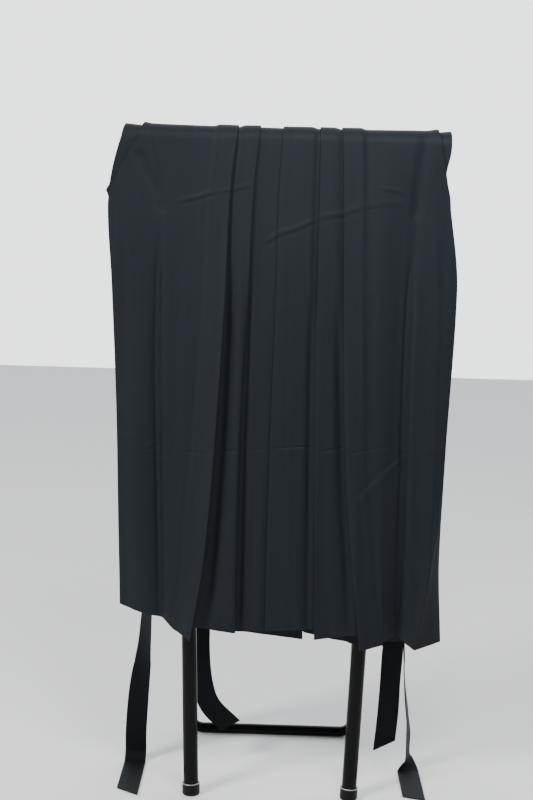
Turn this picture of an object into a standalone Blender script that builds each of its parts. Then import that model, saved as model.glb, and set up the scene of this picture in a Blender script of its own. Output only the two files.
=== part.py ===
"""Hakama trousers hung over the top bar of a plain tubular rack stand.

Metres, +Z up. The wearer's front faces -Y and +X is to the viewer's right.
The stand's feet are on z = 0 and the whole is centred on x = y = 0.

The cloth passes over the bar: the legs fall in front of the stand and the
waist hangs behind it. A place on the cloth is given by three lengths:
  x      across the garment
  run    along the cloth from the crest of the bar, + to the hem, - to the waist
  out    outward from the surface that wraps the bar and lies on the legs
"""
import math
from typing import NamedTuple

import bmesh
import bpy
from mathutils import Matrix, Vector

# ---------------------------------------------------------------- stand sizes
BAR_HEIGHT = 1.1035          # axis of the top bar above the floor
BAR_RADIUS = 0.0127
BAR_HALF = 0.252
FRONT_RADIUS = 0.0127
FRONT_TOP_X = 0.176
FRONT_FOOT_X = 0.1346
FRONT_FOOT_Y = -0.090
TUBE_SIDES = 24
REAR_RADIUS = 0.0095
REAR_TOP_X = 0.153
REAR_FOOT_X = 0.1545
REAR_FOOT_Y = 0.178
REAR_BAR_Z = REAR_RADIUS * math.cos(math.pi / TUBE_SIDES)    # its lowest facet is on the floor
REAR_BEND = 0.028            # reach of the bends of the rear floor bar
REAR_STUB = 0.004            # straight end of a bend, in line with its leg
JOINT_GAP = 0.0005           # air left under the bar at the head of each leg
CAP_HEIGHT = 0.018
CAP_RADIUS = 0.0150
CAP_FLOOR = 0.004            # rubber under the end of a front leg
CAP_EDGE = 0.002             # height of the chamfer round a cap's foot
CAP_CHAMFER = 0.0012
CAP_LIP = 0.0008
PLUG_LENGTH = 0.005          # rubber plugs in the ends of the top bar
BEND_STEPS = 6               # sections in each bend of the rear bar

# ---------------------------------------------------------------- cloth sizes
WALL = 0.0012
GAP = 0.0003
TURN_STEPS = 4               # sections in each quarter turn of the cloth
PITCH = WALL + GAP           # one cloth layer to the next
WRAP_RADIUS = 0.0133         # inner face of the cloth round the bar's axis
WAIST_RUN = -0.125           # waist seam
UNDER_BAND = -0.153          # raw edge of the panels inside the waistbands
BAND_OPEN = -0.118           # mouth of the waistband channels
BAND_END = -0.156
BOARD_END = -0.213           # top of the stiff back board
BOARD_INSETS = (0.004, 0.045)    # in from the ends of the back waistband, at foot and top
BOARD_OUT = (0.0006, 0.0036)     # its two faces, outside the wrap surface
BOARD_EDGE = 0.0010
FRONT_BAND = (-0.170, 0.195)
BACK_BAND = (-0.103, 0.193)
TIE_WIDTH = 0.038
TIE_THICKNESS = 0.0015
CROTCH_RUN = 0.470
GUSSET_DROP = 0.070
LEFT_WALL_STEP = 0.014       # inner leg walls, back from the division
RIGHT_WALL_STEP = 0.003

FRONT_LEAN = math.atan2(-FRONT_FOOT_Y, BAR_HEIGHT)
REAR_LEAN = math.atan2(REAR_FOOT_Y, BAR_HEIGHT - REAR_BAR_Z)


class Fold(NamedTuple):
    """One fold line down a layer: where it runs, how far out, and its hem."""
    waist: float             # x at the waist seam
    bar: float               # x over the bar
    upper: float             # x at the foot of the side slits
    high: float
    mid: float               # x at the storage crease
    low: float
    hem: float
    out_waist: float         # millimetres outside the wrap surface
    out_bar: float
    out_upper: float
    out_mid: float
    out_hem: float
    hem_z: float             # height of the hem above the floor
    under: int = 0           # side to which a pleat's return lies, +1 is +X
    stand_off: float = 0.0   # millimetres that a pleat's edge stands open


FRONT = {
    #                    waist    bar      upper    high     mid      low      hem
    "left_side":    Fold(-0.165, -0.2378, -0.2965, -0.2880, -0.2740, -0.2700, -0.2660, 20, 14, 4, -10, -30, 0.319),
    "left_fall":    Fold(-0.158, -0.2335, -0.2510, -0.2450, -0.2390, -0.2335, -0.2260, 20, 13, 9, 5, -9, 0.309),
    "left_valley":  Fold(-0.150, -0.2285, -0.2085, -0.2085, -0.2032, -0.1965, -0.1895, 20, 12, 3.6, -2, -6, 0.305),
    "left_ridge":   Fold(-0.140, -0.2180, -0.1985, -0.1985, -0.1930, -0.1865, -0.1795, 20, 11.5, 5.5, 4, 5, 0.296),
    "left_one":     Fold(-0.062, -0.0840, -0.0955, -0.0978, -0.1090, -0.1200, -0.1405, 20, 9.5, 8, 12, 19, 0.275, -1, 14),
    "left_two":     Fold(-0.030, -0.0475, -0.0570, -0.0600, -0.0685, -0.0688, -0.0662, 20, 10, 7, 8, 9, 0.288, -1, 10),
    "right_one":    Fold(0.000, -0.0085, -0.0136, -0.0137, -0.0168, -0.0172, -0.0162, 20, 9.5, 7, 7, 8, 0.2885, 1, 3),
    "right_two":    Fold(0.048, 0.0523, 0.0537, 0.0540, 0.0580, 0.0635, 0.0665, 20, 10, 7, 9, 14, 0.289, 1, 8),
    "right_three":  Fold(0.078, 0.0885, 0.0943, 0.0980, 0.1085, 0.1235, 0.1430, 20, 10, 8, 12, 21, 0.2625, 1, 5),
    "right_face":   Fold(0.135, 0.1620, 0.1660, 0.1680, 0.1690, 0.1730, 0.1810, 20, 11, 11, 14, 20, 0.268),
    "right_valley": Fold(0.170, 0.2285, 0.2135, 0.2066, 0.2070, 0.2071, 0.2070, 20, 12, 3, -1.2, -5, 0.284),
    "right_lip":    Fold(0.174, 0.2330, 0.2270, 0.2195, 0.2200, 0.2195, 0.2180, 20, 12.5, 4, 0.8, -2, 0.276),
    "right_ridge":  Fold(0.180, 0.2385, 0.2430, 0.2560, 0.2600, 0.2590, 0.2362, 20, 13.5, 5, 1, 7, 0.263),
    "right_side":   Fold(0.190, 0.2455, 0.2720, 0.2868, 0.2780, 0.2745, 0.2825, 20, 14.5, 4, -5, -20, 0.2755),
}

BACK = {
    "left_side":      Fold(-0.100, -0.2695, -0.2965, -0.2880, -0.2740, -0.2700, -0.2660, 0, 11, 1, -14, -34, 0.321),
    "left_leg_out":   Fold(-0.092, -0.1930, -0.1890, -0.1840, -0.1740, -0.1680, -0.1620, 0, 4, 0, 0, 0, 0.292),
    "left_leg_in":    Fold(-0.076, -0.1580, -0.1550, -0.1500, -0.1400, -0.1345, -0.1290, 0, 2, 0, 0, 0, 0.286),
    "left_pleat":     Fold(0.010, 0.0000, -0.0100, -0.0150, -0.0300, -0.0400, -0.0500, 0, 0, 0, -8, -15, 0.279, -1, 0),
    "right_pleat":    Fold(0.062, 0.0720, 0.0770, 0.0800, 0.0880, 0.0930, 0.0980, 0, 0, 0, -7, -13, 0.270, 1, 0),
    "right_leg_in":   Fold(0.120, 0.1580, 0.1550, 0.1500, 0.1400, 0.1345, 0.1290, 0, 2, 0, 0, 0, 0.262),
    "right_leg_out":  Fold(0.150, 0.1930, 0.1890, 0.1840, 0.1740, 0.1680, 0.1620, 0, 4, 0, 0, 0, 0.263),
    "right_side":     Fold(0.190, 0.2680, 0.2720, 0.2868, 0.2780, 0.2745, 0.2825, 0, 11.5, 1, -8.5, -24, 0.2765),
}

# runs at which the x columns and the out columns are given
X_RUNS = (WAIST_RUN, 0.0, 0.130, 0.260, 0.530, 0.700, 0.850)
OUT_RUNS = (WAIST_RUN, 0.0, 0.130, 0.530, 0.850)


class Place(NamedTuple):
    """A corner of a panel's section, measured from one of its fold lines."""
    fold: str
    share: float = 0.0       # share of the pleat's return, away from its edge
    step: float = 0.0        # metres further the same way
    level: int = 0           # cloth layers above the base
    lifted: bool = False     # on the edge that stands open


FRONT_PANELS = {
    "front_left_outer": (
        Place("left_side"), Place("left_fall"), Place("left_valley"), Place("left_ridge"),
        Place("left_one", 1, 0.0085), Place("left_one", 1, 0.0015, 2),
        Place("left_one", 0, 0, 2, True), Place("left_one", 0, 0, 1, True), Place("left_one", 1, 0, 1)),
    "front_left_inner": (
        Place("left_one", 1), Place("left_one"), Place("left_one", 0, -0.0025),
        Place("left_two", 1, 0.003, 2), Place("left_two", 0, 0, 2, True),
        Place("left_two", 0, 0, 1, True), Place("left_two", 1, 0, 1), Place("left_two", 1),
        Place("left_two"), Place("right_one"), Place("right_one", 1, -0.012)),
    "front_right_inner": (
        Place("right_one", 1, 0, 1), Place("right_one", 0, 0, 1, True), Place("right_one", 0, 0, 2, True),
        Place("right_one", 1, 0.0015, 2), Place("right_one", 1, 0.0085), Place("right_two"),
        Place("right_two", 1), Place("right_two", 1, 0, 1), Place("right_two", 0, 0, 1, True),
        Place("right_two", 0, 0, 2, True), Place("right_two", 1, 0.003, 2),
        Place("right_three", 0, -0.0025), Place("right_three"), Place("right_three", 1)),
    "front_right_outer": (
        Place("right_three", 1, 0, 1), Place("right_three", 0, 0, 1, True),
        Place("right_three", 0, 0, 2, True), Place("right_three", 1, 0.0015, 2),
        Place("right_three", 1, 0.0085), Place("right_face"), Place("right_valley"),
        Place("right_lip"), Place("right_ridge"), Place("right_side")),
}

BACK_PANELS = {
    "back_left": (
        Place("left_side"), Place("left_leg_out"), Place("left_leg_in"), Place("left_pleat", 1),
        Place("left_pleat"), Place("left_pleat", 0, 0, 1), Place("left_pleat", 1, 0, 1),
        Place("left_pleat", 1, 0, 2), Place("left_pleat", 0, 0, 2), Place("division", 0, -0.0005, 2)),
    "back_right": (
        Place("division", 0, 0.0005, 2), Place("right_pleat", 0, 0, 2), Place("right_pleat", 1, 0, 2),
        Place("right_pleat", 1, 0, 1), Place("right_pleat", 0, 0, 1), Place("right_pleat"),
        Place("right_pleat", 1), Place("right_leg_in"), Place("right_leg_out"), Place("right_side")),
}


class TieRow(NamedTuple):
    """One place down a hanging tie."""
    z: float
    x: float
    y: float
    turn: float              # degrees that the face has turned about the vertical
    tilt: float = 0.0        # degrees that the tie leans inward, going down


TIES = {
    "front_tie_left": (
        TieRow(0.900, -0.1930, 0.046, 0), TieRow(0.700, -0.2020, 0.046, 12),
        TieRow(0.480, -0.2150, 0.045, 40), TieRow(0.300, -0.2270, 0.044, 58),
        TieRow(0.210, -0.2320, 0.043, 46), TieRow(0.130, -0.2400, 0.041, 14),
        TieRow(0.060, -0.2440, 0.040, 4)),
    "front_tie_right": (
        TieRow(0.900, 0.2170, 0.046, 0), TieRow(0.700, 0.2220, 0.046, 25),
        TieRow(0.480, 0.2280, 0.045, 62), TieRow(0.300, 0.2320, 0.044, 78),
        TieRow(0.180, 0.2350, 0.043, 84), TieRow(0.100, 0.2440, 0.041, 80),
        TieRow(0.060, 0.2470, 0.040, 74)),
    "back_tie_left": (
        TieRow(0.900, -0.1220, 0.038, 0), TieRow(0.700, -0.1210, 0.038, 20),
        TieRow(0.480, -0.1260, 0.038, 24), TieRow(0.280, -0.1330, 0.040, 8),
        TieRow(0.200, -0.1325, 0.040, 0, 4), TieRow(0.145, -0.1251, 0.040, 0, 20),
        TieRow(0.106, -0.1099, 0.040, 0, 35), TieRow(0.071, -0.0745, 0.040, 0, 46)),
    "back_tie_right": (
        TieRow(0.900, 0.2120, 0.038, 0), TieRow(0.700, 0.2110, 0.030, 6),
        TieRow(0.480, 0.2110, 0.020, 10), TieRow(0.280, 0.2110, 0.016, 6),
        TieRow(0.170, 0.2080, 0.015, 14), TieRow(0.110, 0.2060, 0.015, 8),
        TieRow(0.055, 0.2020, 0.015, 8)),
}
FLOOR_BEND = 0.022           # a front tie turns forward on this radius
FLOOR_CLEAR = 0.0012         # underside of the cloth lying on the floor
FLOOR_LENGTHS = {"front_tie_left": 0.105, "front_tie_right": 0.100}
TIE_PIVOT = 0.002            # a tie's fold, in from the edge of its waistband

# how far the two edges of a tie's end reach past its middle: inner, outer
TIE_CUTS = {
    "front_tie_left": (0.020, -0.005),
    "front_tie_right": (0.0, 0.012),
    "back_tie_left": (0.0, 0.0),
    "back_tie_right": (0.012, -0.006),
}

SMOOTH_ANGLE = 0.6           # faces that meet at more than this shade as an edge
CLOTH = (0.012, 0.017, 0.024)
TUBE_BLACK = (0.006, 0.006, 0.007)
RUBBER = (0.014, 0.014, 0.014)


# ------------------------------------------------------------------ the frame
def wrap_turn(run):
    """Largest angle that the cloth turns round the bar, and its lean, on one side."""
    lean = FRONT_LEAN if run >= 0 else REAR_LEAN
    return math.pi / 2 - lean, lean


def on_cloth(x, run, out):
    """World point of a place on the cloth."""
    side = -1 if run >= 0 else 1
    full_turn, lean = wrap_turn(run)
    turn = min(abs(run) / WRAP_RADIUS, full_turn)
    straight = abs(run) - WRAP_RADIUS * turn
    reach = WRAP_RADIUS + out
    y = side * (reach * math.sin(turn) + straight * math.sin(lean))
    z = BAR_HEIGHT + reach * math.cos(turn) - straight * math.cos(lean)
    return Vector((x, y, z))


def run_at_height(z):
    """Length down the front fall at which the wrap surface has a height."""
    full_turn, lean = wrap_turn(1)
    drop = BAR_HEIGHT + WRAP_RADIUS * math.cos(full_turn) - z
    return WRAP_RADIUS * full_turn + drop / math.cos(lean)


def smooth_column(runs, values, run):
    """Cubic through a table's column that never overshoots it, level beyond its ends."""
    if run <= runs[0]:
        return values[0]
    if run >= runs[-1]:
        return values[-1]
    i = max(k for k in range(len(runs) - 1) if runs[k] <= run)
    rates = [(values[k + 1] - values[k]) / (runs[k + 1] - runs[k]) for k in range(len(runs) - 1)]

    def slope(k):
        before, after = rates[k - 1] if k else 0, rates[min(k, len(rates) - 1)]
        return 2 * before * after / (before + after) if before * after > 0 else 0

    width = runs[i + 1] - runs[i]
    t = (run - runs[i]) / width
    near = (1 + 2 * t) * (1 - t) ** 2 * values[i] + t * (1 - t) ** 2 * width * slope(i)
    far = t * t * (3 - 2 * t) * values[i + 1] - t * t * (1 - t) * width * slope(i + 1)
    return near + far


def fold_x(fold, run):
    """x of a fold line at a run."""
    columns = (fold.waist, fold.bar, fold.upper, fold.high, fold.mid, fold.low, fold.hem)
    return smooth_column(X_RUNS, columns, run)


def fold_out(fold, run):
    """Distance of a fold line outside the wrap surface, in metres."""
    columns = (fold.out_waist, fold.out_bar, fold.out_upper, fold.out_mid, fold.out_hem)
    return smooth_column(OUT_RUNS, columns, run) / 1000


def between(folds, x, values):
    """Straight-line value at x between neighbouring fold lines."""
    if x <= folds[0]:
        return values[0]
    for low in range(len(folds) - 1):
        if x <= folds[low + 1]:
            t = (x - folds[low]) / (folds[low + 1] - folds[low])
            return values[low] + t * (values[low + 1] - values[low])
    return values[-1]


def underlap(name, run):
    """Width of a pleat's return at a run."""
    x = {key: fold_x(fold, run) for key, fold in FRONT.items()}
    widths = {
        "left_one": 0.022 + 0.008 * (1 - smooth_share(run, 0.60, 0.85)),
        "left_two": 0.60 * (x["left_two"] - x["left_one"]),
        "right_one": 0.78 * (x["right_two"] - x["right_one"]),
        "right_two": 0.60 * (x["right_three"] - x["right_two"]),
        "right_three": 0.030,
        "left_pleat": 0.024,
        "right_pleat": 0.024,
    }
    return widths[name]


def smooth_share(value, low, high):
    """0 below low, 1 above high, smooth between."""
    t = min(max((value - low) / (high - low), 0), 1)
    return t * t * (3 - 2 * t)


def division_x(run):
    """x of the line that parts the two trouser legs."""
    return fold_x(FRONT["right_one"], run) + underlap("right_one", run)


class Layer:
    """The front or the back of the garment: its fold lines and its hem."""

    def __init__(self, folds):
        self.folds = folds
        self.hem_runs = [run_at_height(fold.hem_z) for fold in folds.values()]

    def base_out(self, x, run):
        """Inner face of the bottom cloth layer."""
        places = [fold_x(fold, run) for fold in self.folds.values()]
        return between(places, x, [fold_out(fold, run) for fold in self.folds.values()])

    def hem_run(self, x):
        """Run of the hem under x."""
        return between([fold.hem for fold in self.folds.values()], x, self.hem_runs)

    def place(self, place, run):
        """(x, out) of a section's corner, on the middle of the cloth's wall."""
        if place.fold == "division":
            x = division_x(run) + place.step
            return x, self.base_out(x, run) + place.level * PITCH + WALL / 2
        fold = self.folds[place.fold]
        x = fold_x(fold, run)
        if place.share or place.step:
            x += fold.under * (place.share * underlap(place.fold, run) + place.step)
        out = self.base_out(x, run) + place.level * PITCH + WALL / 2
        if place.lifted:
            out += fold.stand_off / 1000 * max(run / X_RUNS[-1], 0) ** 0.7
        return x, out


# ---------------------------------------------------------------- mesh making
def offset_line(line, half):
    """The two sides of a flat open line of (a, b) pairs, mitred at its corners."""
    sides = ([], [])
    for i, point in enumerate(line):
        here = Vector(point)
        before = (here - Vector(line[i - 1])).normalized() if i else None
        after = (Vector(line[i + 1]) - here).normalized() if i + 1 < len(line) else None
        first = before or after
        second = after or before
        n1 = Vector((-first.y, first.x))
        n2 = Vector((-second.y, second.x))
        mitre = (n1 + n2) / (1 + n1.dot(n2))
        sides[0].append(here + mitre * half)
        sides[1].append(here - mitre * half)
    return sides


def sheet_mesh(bm, upper, lower):
    """Closed wall between two grids of points, upper[row][column] facing out."""
    rows, columns = len(upper), len(upper[0])
    top = [[bm.verts.new(p) for p in row] for row in upper]
    low = [[bm.verts.new(p) for p in row] for row in lower]
    for r in range(rows - 1):
        for c in range(columns - 1):
            bm.faces.new((top[r][c], top[r + 1][c], top[r + 1][c + 1], top[r][c + 1]))
            bm.faces.new((low[r][c], low[r][c + 1], low[r + 1][c + 1], low[r + 1][c]))
    for r in range(rows - 1):
        bm.faces.new((top[r][0], low[r][0], low[r + 1][0], top[r + 1][0]))
        bm.faces.new((top[r][-1], top[r + 1][-1], low[r + 1][-1], low[r][-1]))
    for c in range(columns - 1):
        bm.faces.new((top[0][c], top[0][c + 1], low[0][c + 1], low[0][c]))
        bm.faces.new((top[-1][c], low[-1][c], low[-1][c + 1], top[-1][c + 1]))


def finish_mesh(name, bm, colour, roughness):
    """Turn a bmesh into a named object with its own material."""
    bmesh.ops.recalc_face_normals(bm, faces=bm.faces)
    bmesh.ops.triangulate(bm, faces=bm.faces)
    mesh = bpy.data.meshes.new(name)
    bm.to_mesh(mesh)
    bm.free()
    mesh.shade_smooth()
    mesh.set_sharp_from_angle(angle=SMOOTH_ANGLE)
    part = bpy.data.objects.new(name, mesh)
    bpy.context.collection.objects.link(part)
    material = bpy.data.materials.new(name)
    material.use_nodes = True
    shader = material.node_tree.nodes["Principled BSDF"]
    shader.inputs["Base Color"].default_value = (*colour, 1)
    shader.inputs["Roughness"].default_value = roughness
    mesh.materials.append(material)
    return part


# ------------------------------------------------------------------ the cloth
def panel_runs():
    """Shares of the fall at which a panel's sections are cut, waist to hem."""
    front_turn, _ = wrap_turn(1)
    rear_turn, _ = wrap_turn(-1)
    runs = [UNDER_BAND, WAIST_RUN, BAND_OPEN, -0.070]
    runs += [-WRAP_RADIUS * rear_turn * k / TURN_STEPS for k in range(TURN_STEPS, 0, -1)]
    runs += [WRAP_RADIUS * front_turn * k / TURN_STEPS for k in range(TURN_STEPS + 1)]
    runs += [0.050, 0.090, 0.130, 0.190, 0.260, 0.350, 0.440, 0.530, 0.620, 0.710, 0.780, 0.850]
    return runs


def stretched(run, hem_run):
    """A run moved so that the last one lies on the hem; the top stays."""
    share = smooth_share(run, X_RUNS[4], X_RUNS[-1])
    return run + share * (hem_run - X_RUNS[-1])


def panel(name, layer, places):
    """One cut width of the garment, folded into its pleats, from waist to hem."""
    upper, lower = [], []
    for run in panel_runs():
        line = [layer.place(place, run) for place in places]
        sides = offset_line(line, WALL / 2)
        runs = [stretched(run, layer.hem_run(x)) for x, _ in line]
        upper.append([on_cloth(p.x, r, p.y) for p, r in zip(sides[0], runs)])
        lower.append([on_cloth(p.x, r, p.y) for p, r in zip(sides[1], runs)])
    bm = bmesh.new()
    sheet_mesh(bm, upper, lower)
    return finish_mesh(name, bm, CLOTH, 0.55)


def channel(name, layer, level_low, level_high, ends):
    """A waistband: a strip folded round the raw edge of a layer's panels."""
    def out(run, level):
        return layer.base_out(sum(ends) / 2, run) + level * PITCH + WALL / 2

    line = [(BAND_OPEN, level_low), (BAND_END, level_low), (BAND_END, level_high), (BAND_OPEN, level_high)]
    sides = offset_line([(run, out(run, level)) for run, level in line], WALL / 2)
    bm = bmesh.new()
    upper = [[on_cloth(x, p.x, p.y) for p in sides[0]] for x in ends]
    lower = [[on_cloth(x, p.x, p.y) for p in sides[1]] for x in ends]
    sheet_mesh(bm, upper, lower)
    return finish_mesh(name, bm, CLOTH, 0.5)


def back_board():
    """The stiff board above the back waistband, narrower at its top."""
    low_run = BAND_END - WALL / 2 - GAP
    low_inset, top_inset = BOARD_INSETS
    corners = ((BACK_BAND[0] + low_inset, low_run), (BACK_BAND[1] - low_inset, low_run),
               (BACK_BAND[1] - top_inset, BOARD_END), (BACK_BAND[0] + top_inset, BOARD_END))
    bm = bmesh.new()
    faces = [[bm.verts.new(on_cloth(x, run, out)) for x, run in corners] for out in BOARD_OUT]
    bm.faces.new(faces[0])
    bm.faces.new(faces[1][::-1])
    for i in range(4):
        j = (i + 1) % 4
        bm.faces.new((faces[0][i], faces[1][i], faces[1][j], faces[0][j]))
    bmesh.ops.recalc_face_normals(bm, faces=bm.faces)
    bmesh.ops.bevel(bm, geom=list(bm.edges), offset=BOARD_EDGE, segments=2, profile=0.5, affect="EDGES")
    return finish_mesh("back_board", bm, CLOTH, 0.5)


def leg_wall(name, front, back, step, front_level):
    """The inner wall of one trouser leg, from the crotch to the hem."""
    upper, lower = [], []
    for run in (CROTCH_RUN, 0.530, 0.620, 0.710, 0.780, 0.850):
        x = division_x(run) - step
        near = back.base_out(x, run) + 3 * PITCH + GAP
        far = front.base_out(x, run) + front_level * PITCH - GAP
        run_here = stretched(run, min(front.hem_run(x), back.hem_run(x)))
        upper.append([on_cloth(x - WALL / 2, run_here, out) for out in (near, far)])
        lower.append([on_cloth(x + WALL / 2, run_here, out) for out in (near, far)])
    bm = bmesh.new()
    sheet_mesh(bm, upper, lower)
    return finish_mesh(name, bm, CLOTH, 0.55)


def crotch_gusset(front, back):
    """The piece folded over between the tops of the two inner leg walls."""
    half = (LEFT_WALL_STEP - RIGHT_WALL_STEP) / 2 - WALL - 2 * GAP
    bottom = CROTCH_RUN + GUSSET_DROP
    upper, lower = [], []
    for share in (0.0, 0.5, 1.0):
        sides = ([], [])
        for side, run in ((-1, bottom), (-1, CROTCH_RUN), (1, CROTCH_RUN), (1, bottom)):
            x = division_x(run) - (LEFT_WALL_STEP + RIGHT_WALL_STEP) / 2 + side * half
            near = back.base_out(x, run) + 3 * PITCH + GAP
            far = front.base_out(x, run) - GAP
            out = near + share * (far - near)
            shift = -side * WALL / 2
            drop = WALL / 2 if run == CROTCH_RUN else 0
            sides[0].append(on_cloth(x - shift, run - drop, out))
            sides[1].append(on_cloth(x + shift, run + drop, out))
        upper.append(sides[0])
        lower.append(sides[1])
    bm = bmesh.new()
    sheet_mesh(bm, upper, lower)
    return finish_mesh("crotch_gusset", bm, CLOTH, 0.55)


# ------------------------------------------------------------------- the ties
def tie_route(name, band_end, side, out):
    """(middle, half-width arrow) of each section of a tie, from its band down."""
    up = (on_cloth(0, BAND_OPEN, 0) - on_cloth(0, BAND_END, 0)).normalized()
    outward = Vector((side, 0, 0))
    pivot = on_cloth(band_end + side * GAP, BAND_END - TIE_PIVOT, out)
    route = []
    for k in range(TURN_STEPS + 1):
        turn = math.pi / 2 * k / TURN_STEPS
        arm = up * math.cos(turn) + outward * math.sin(turn)
        route.append((pivot + arm * (TIE_PIVOT + TIE_WIDTH / 2), arm * TIE_WIDTH / 2))
    for row in TIES[name]:
        turn, tilt = math.radians(row.turn), math.radians(row.tilt)
        level = Vector((side * math.cos(turn), math.sin(turn), 0))
        arm = level * math.cos(tilt) - Vector((0, 0, math.sin(tilt)))
        route.append((Vector((row.x, row.y, row.z)), arm * TIE_WIDTH / 2))
    return route


def add_floor_run(route, length):
    """Turn a tie forward where it meets the floor and lay its end there."""
    last, arm = route[-1]
    side = math.copysign(1, last.x)
    ahead = Vector((0, -1, 0))
    across = Vector((side, 0, 0)) * TIE_WIDTH / 2
    middle = FLOOR_CLEAR + TIE_THICKNESS / 2
    centre = Vector((last.x, last.y, middle + FLOOR_BEND)) + ahead * FLOOR_BEND
    for k in range(TURN_STEPS + 1):
        turn = math.pi / 2 * k / TURN_STEPS
        place = centre - ahead * FLOOR_BEND * math.cos(turn) - Vector((0, 0, FLOOR_BEND * math.sin(turn)))
        route.append((place, arm.lerp(across, k / TURN_STEPS).normalized() * TIE_WIDTH / 2))
    for share in (0.5, 1.0):
        route.append((centre + ahead * length * share - Vector((0, 0, FLOOR_BEND)), across.copy()))


def tie(name, band_end, side, out):
    """A flat tie: wall round a ribbon of sections, its end cut on the slant."""
    route = tie_route(name, band_end, side, out)
    if name in FLOOR_LENGTHS:
        add_floor_run(route, FLOOR_LENGTHS[name])
    upper, lower = [], []
    for i, (middle, arm) in enumerate(route):
        ahead = route[min(i + 1, len(route) - 1)][0] - route[max(i - 1, 0)][0]
        if i == 0:
            ahead = Vector((side, 0, 0))
        face = arm.cross(ahead).normalized() * TIE_THICKNESS / 2
        edges = [middle - arm, middle + arm]
        if i == len(route) - 1:
            edges = [edge + ahead.normalized() * cut for edge, cut in zip(edges, TIE_CUTS[name])]
        upper.append([edge + face for edge in edges])
        lower.append([edge - face for edge in edges])
    bm = bmesh.new()
    sheet_mesh(bm, upper, lower)
    return finish_mesh(name, bm, CLOTH, 0.5)


# ------------------------------------------------------------------ the stand
def rod(name, start, end, radius, colour=TUBE_BLACK, roughness=0.18):
    """A round tube, closed at its ends, between two points."""
    axis = end - start
    bm = bmesh.new()
    bmesh.ops.create_cone(bm, cap_ends=True, segments=TUBE_SIDES, radius1=radius, radius2=radius,
                          depth=axis.length)
    turn = Vector((0, 0, 1)).rotation_difference(axis).to_matrix().to_4x4()
    bmesh.ops.transform(bm, matrix=Matrix.Translation((start + end) / 2) @ turn, verts=bm.verts)
    return finish_mesh(name, bm, colour, roughness)


def leg_line(top_x, foot):
    """Foot and head of a leg's axis; the head stops just under the bar."""
    head = Vector((top_x, 0, BAR_HEIGHT))
    ahead = (head - foot).normalized()
    return foot, head - ahead * (BAR_RADIUS + JOINT_GAP)


def foot_cap(name, foot, head):
    """Rubber cup on the end of a front leg, flat on the floor."""
    ahead = (head - foot).normalized()
    aside = ahead.cross(Vector((0, 1, 0))).normalized()
    across = aside.cross(ahead)
    hole = FRONT_RADIUS + GAP

    def ring(bm, radius, height):
        """Level near the floor, and square to the leg above the chamfer."""
        points = []
        for k in range(TUBE_SIDES):
            turn = math.tau * k / TUBE_SIDES
            point = foot + (aside * math.cos(turn) + across * math.sin(turn)) * radius
            reach = (height - point.z) / ahead.z if height <= CAP_EDGE else height
            points.append(bm.verts.new(point + ahead * reach))
        return points

    bm = bmesh.new()
    rings = [ring(bm, CAP_RADIUS - CAP_CHAMFER, 0.0), ring(bm, CAP_RADIUS, CAP_EDGE),
             ring(bm, CAP_RADIUS, CAP_HEIGHT - CAP_LIP), ring(bm, CAP_RADIUS - CAP_LIP, CAP_HEIGHT),
             ring(bm, hole, CAP_HEIGHT), ring(bm, hole, CAP_FLOOR)]
    for low, high in zip(rings, rings[1:]):
        for k in range(TUBE_SIDES):
            j = (k + 1) % TUBE_SIDES
            bm.faces.new((low[k], low[j], high[j], high[k]))
    bm.faces.new(rings[0][::-1])
    bm.faces.new(rings[-1])
    return finish_mesh(name, bm, RUBBER, 0.5)


def rear_bar(ends):
    """Floor bar between the rear legs, bent up at both ends to meet them."""
    points = []
    for side, (foot, head) in zip((-1, 1), ends):
        rise = (head - foot).normalized()
        corner = Vector((foot.x, REAR_FOOT_Y, REAR_BAR_Z))
        inward = Vector((-side, 0, 0))
        radius = REAR_BEND - REAR_STUB
        bend = [corner + inward * radius * (1 - math.sin(a)) + rise * radius * (1 - math.cos(a))
                for a in (math.pi / 2 * k / BEND_STEPS for k in range(BEND_STEPS + 1))]
        bend.append(corner + rise * REAR_BEND)
        points += bend if side > 0 else bend[::-1]
    bm = bmesh.new()
    rings = []
    for i, point in enumerate(points):
        ahead = (points[min(i + 1, len(points) - 1)] - points[max(i - 1, 0)]).normalized()
        flat = Vector((0, 1, 0)) - ahead * ahead.y
        flat.normalize()
        other = ahead.cross(flat)
        rings.append([bm.verts.new(point + (flat * math.cos(a) + other * math.sin(a)) * REAR_RADIUS)
                      for a in (math.tau * (k + 0.5) / TUBE_SIDES for k in range(TUBE_SIDES))])
    for low, high in zip(rings, rings[1:]):
        for k in range(TUBE_SIDES):
            j = (k + 1) % TUBE_SIDES
            bm.faces.new((low[k], low[j], high[j], high[k]))
    bm.faces.new(rings[0][::-1])
    bm.faces.new(rings[-1])
    return finish_mesh("stand_rear_bar", bm, TUBE_BLACK, 0.18)


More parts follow.
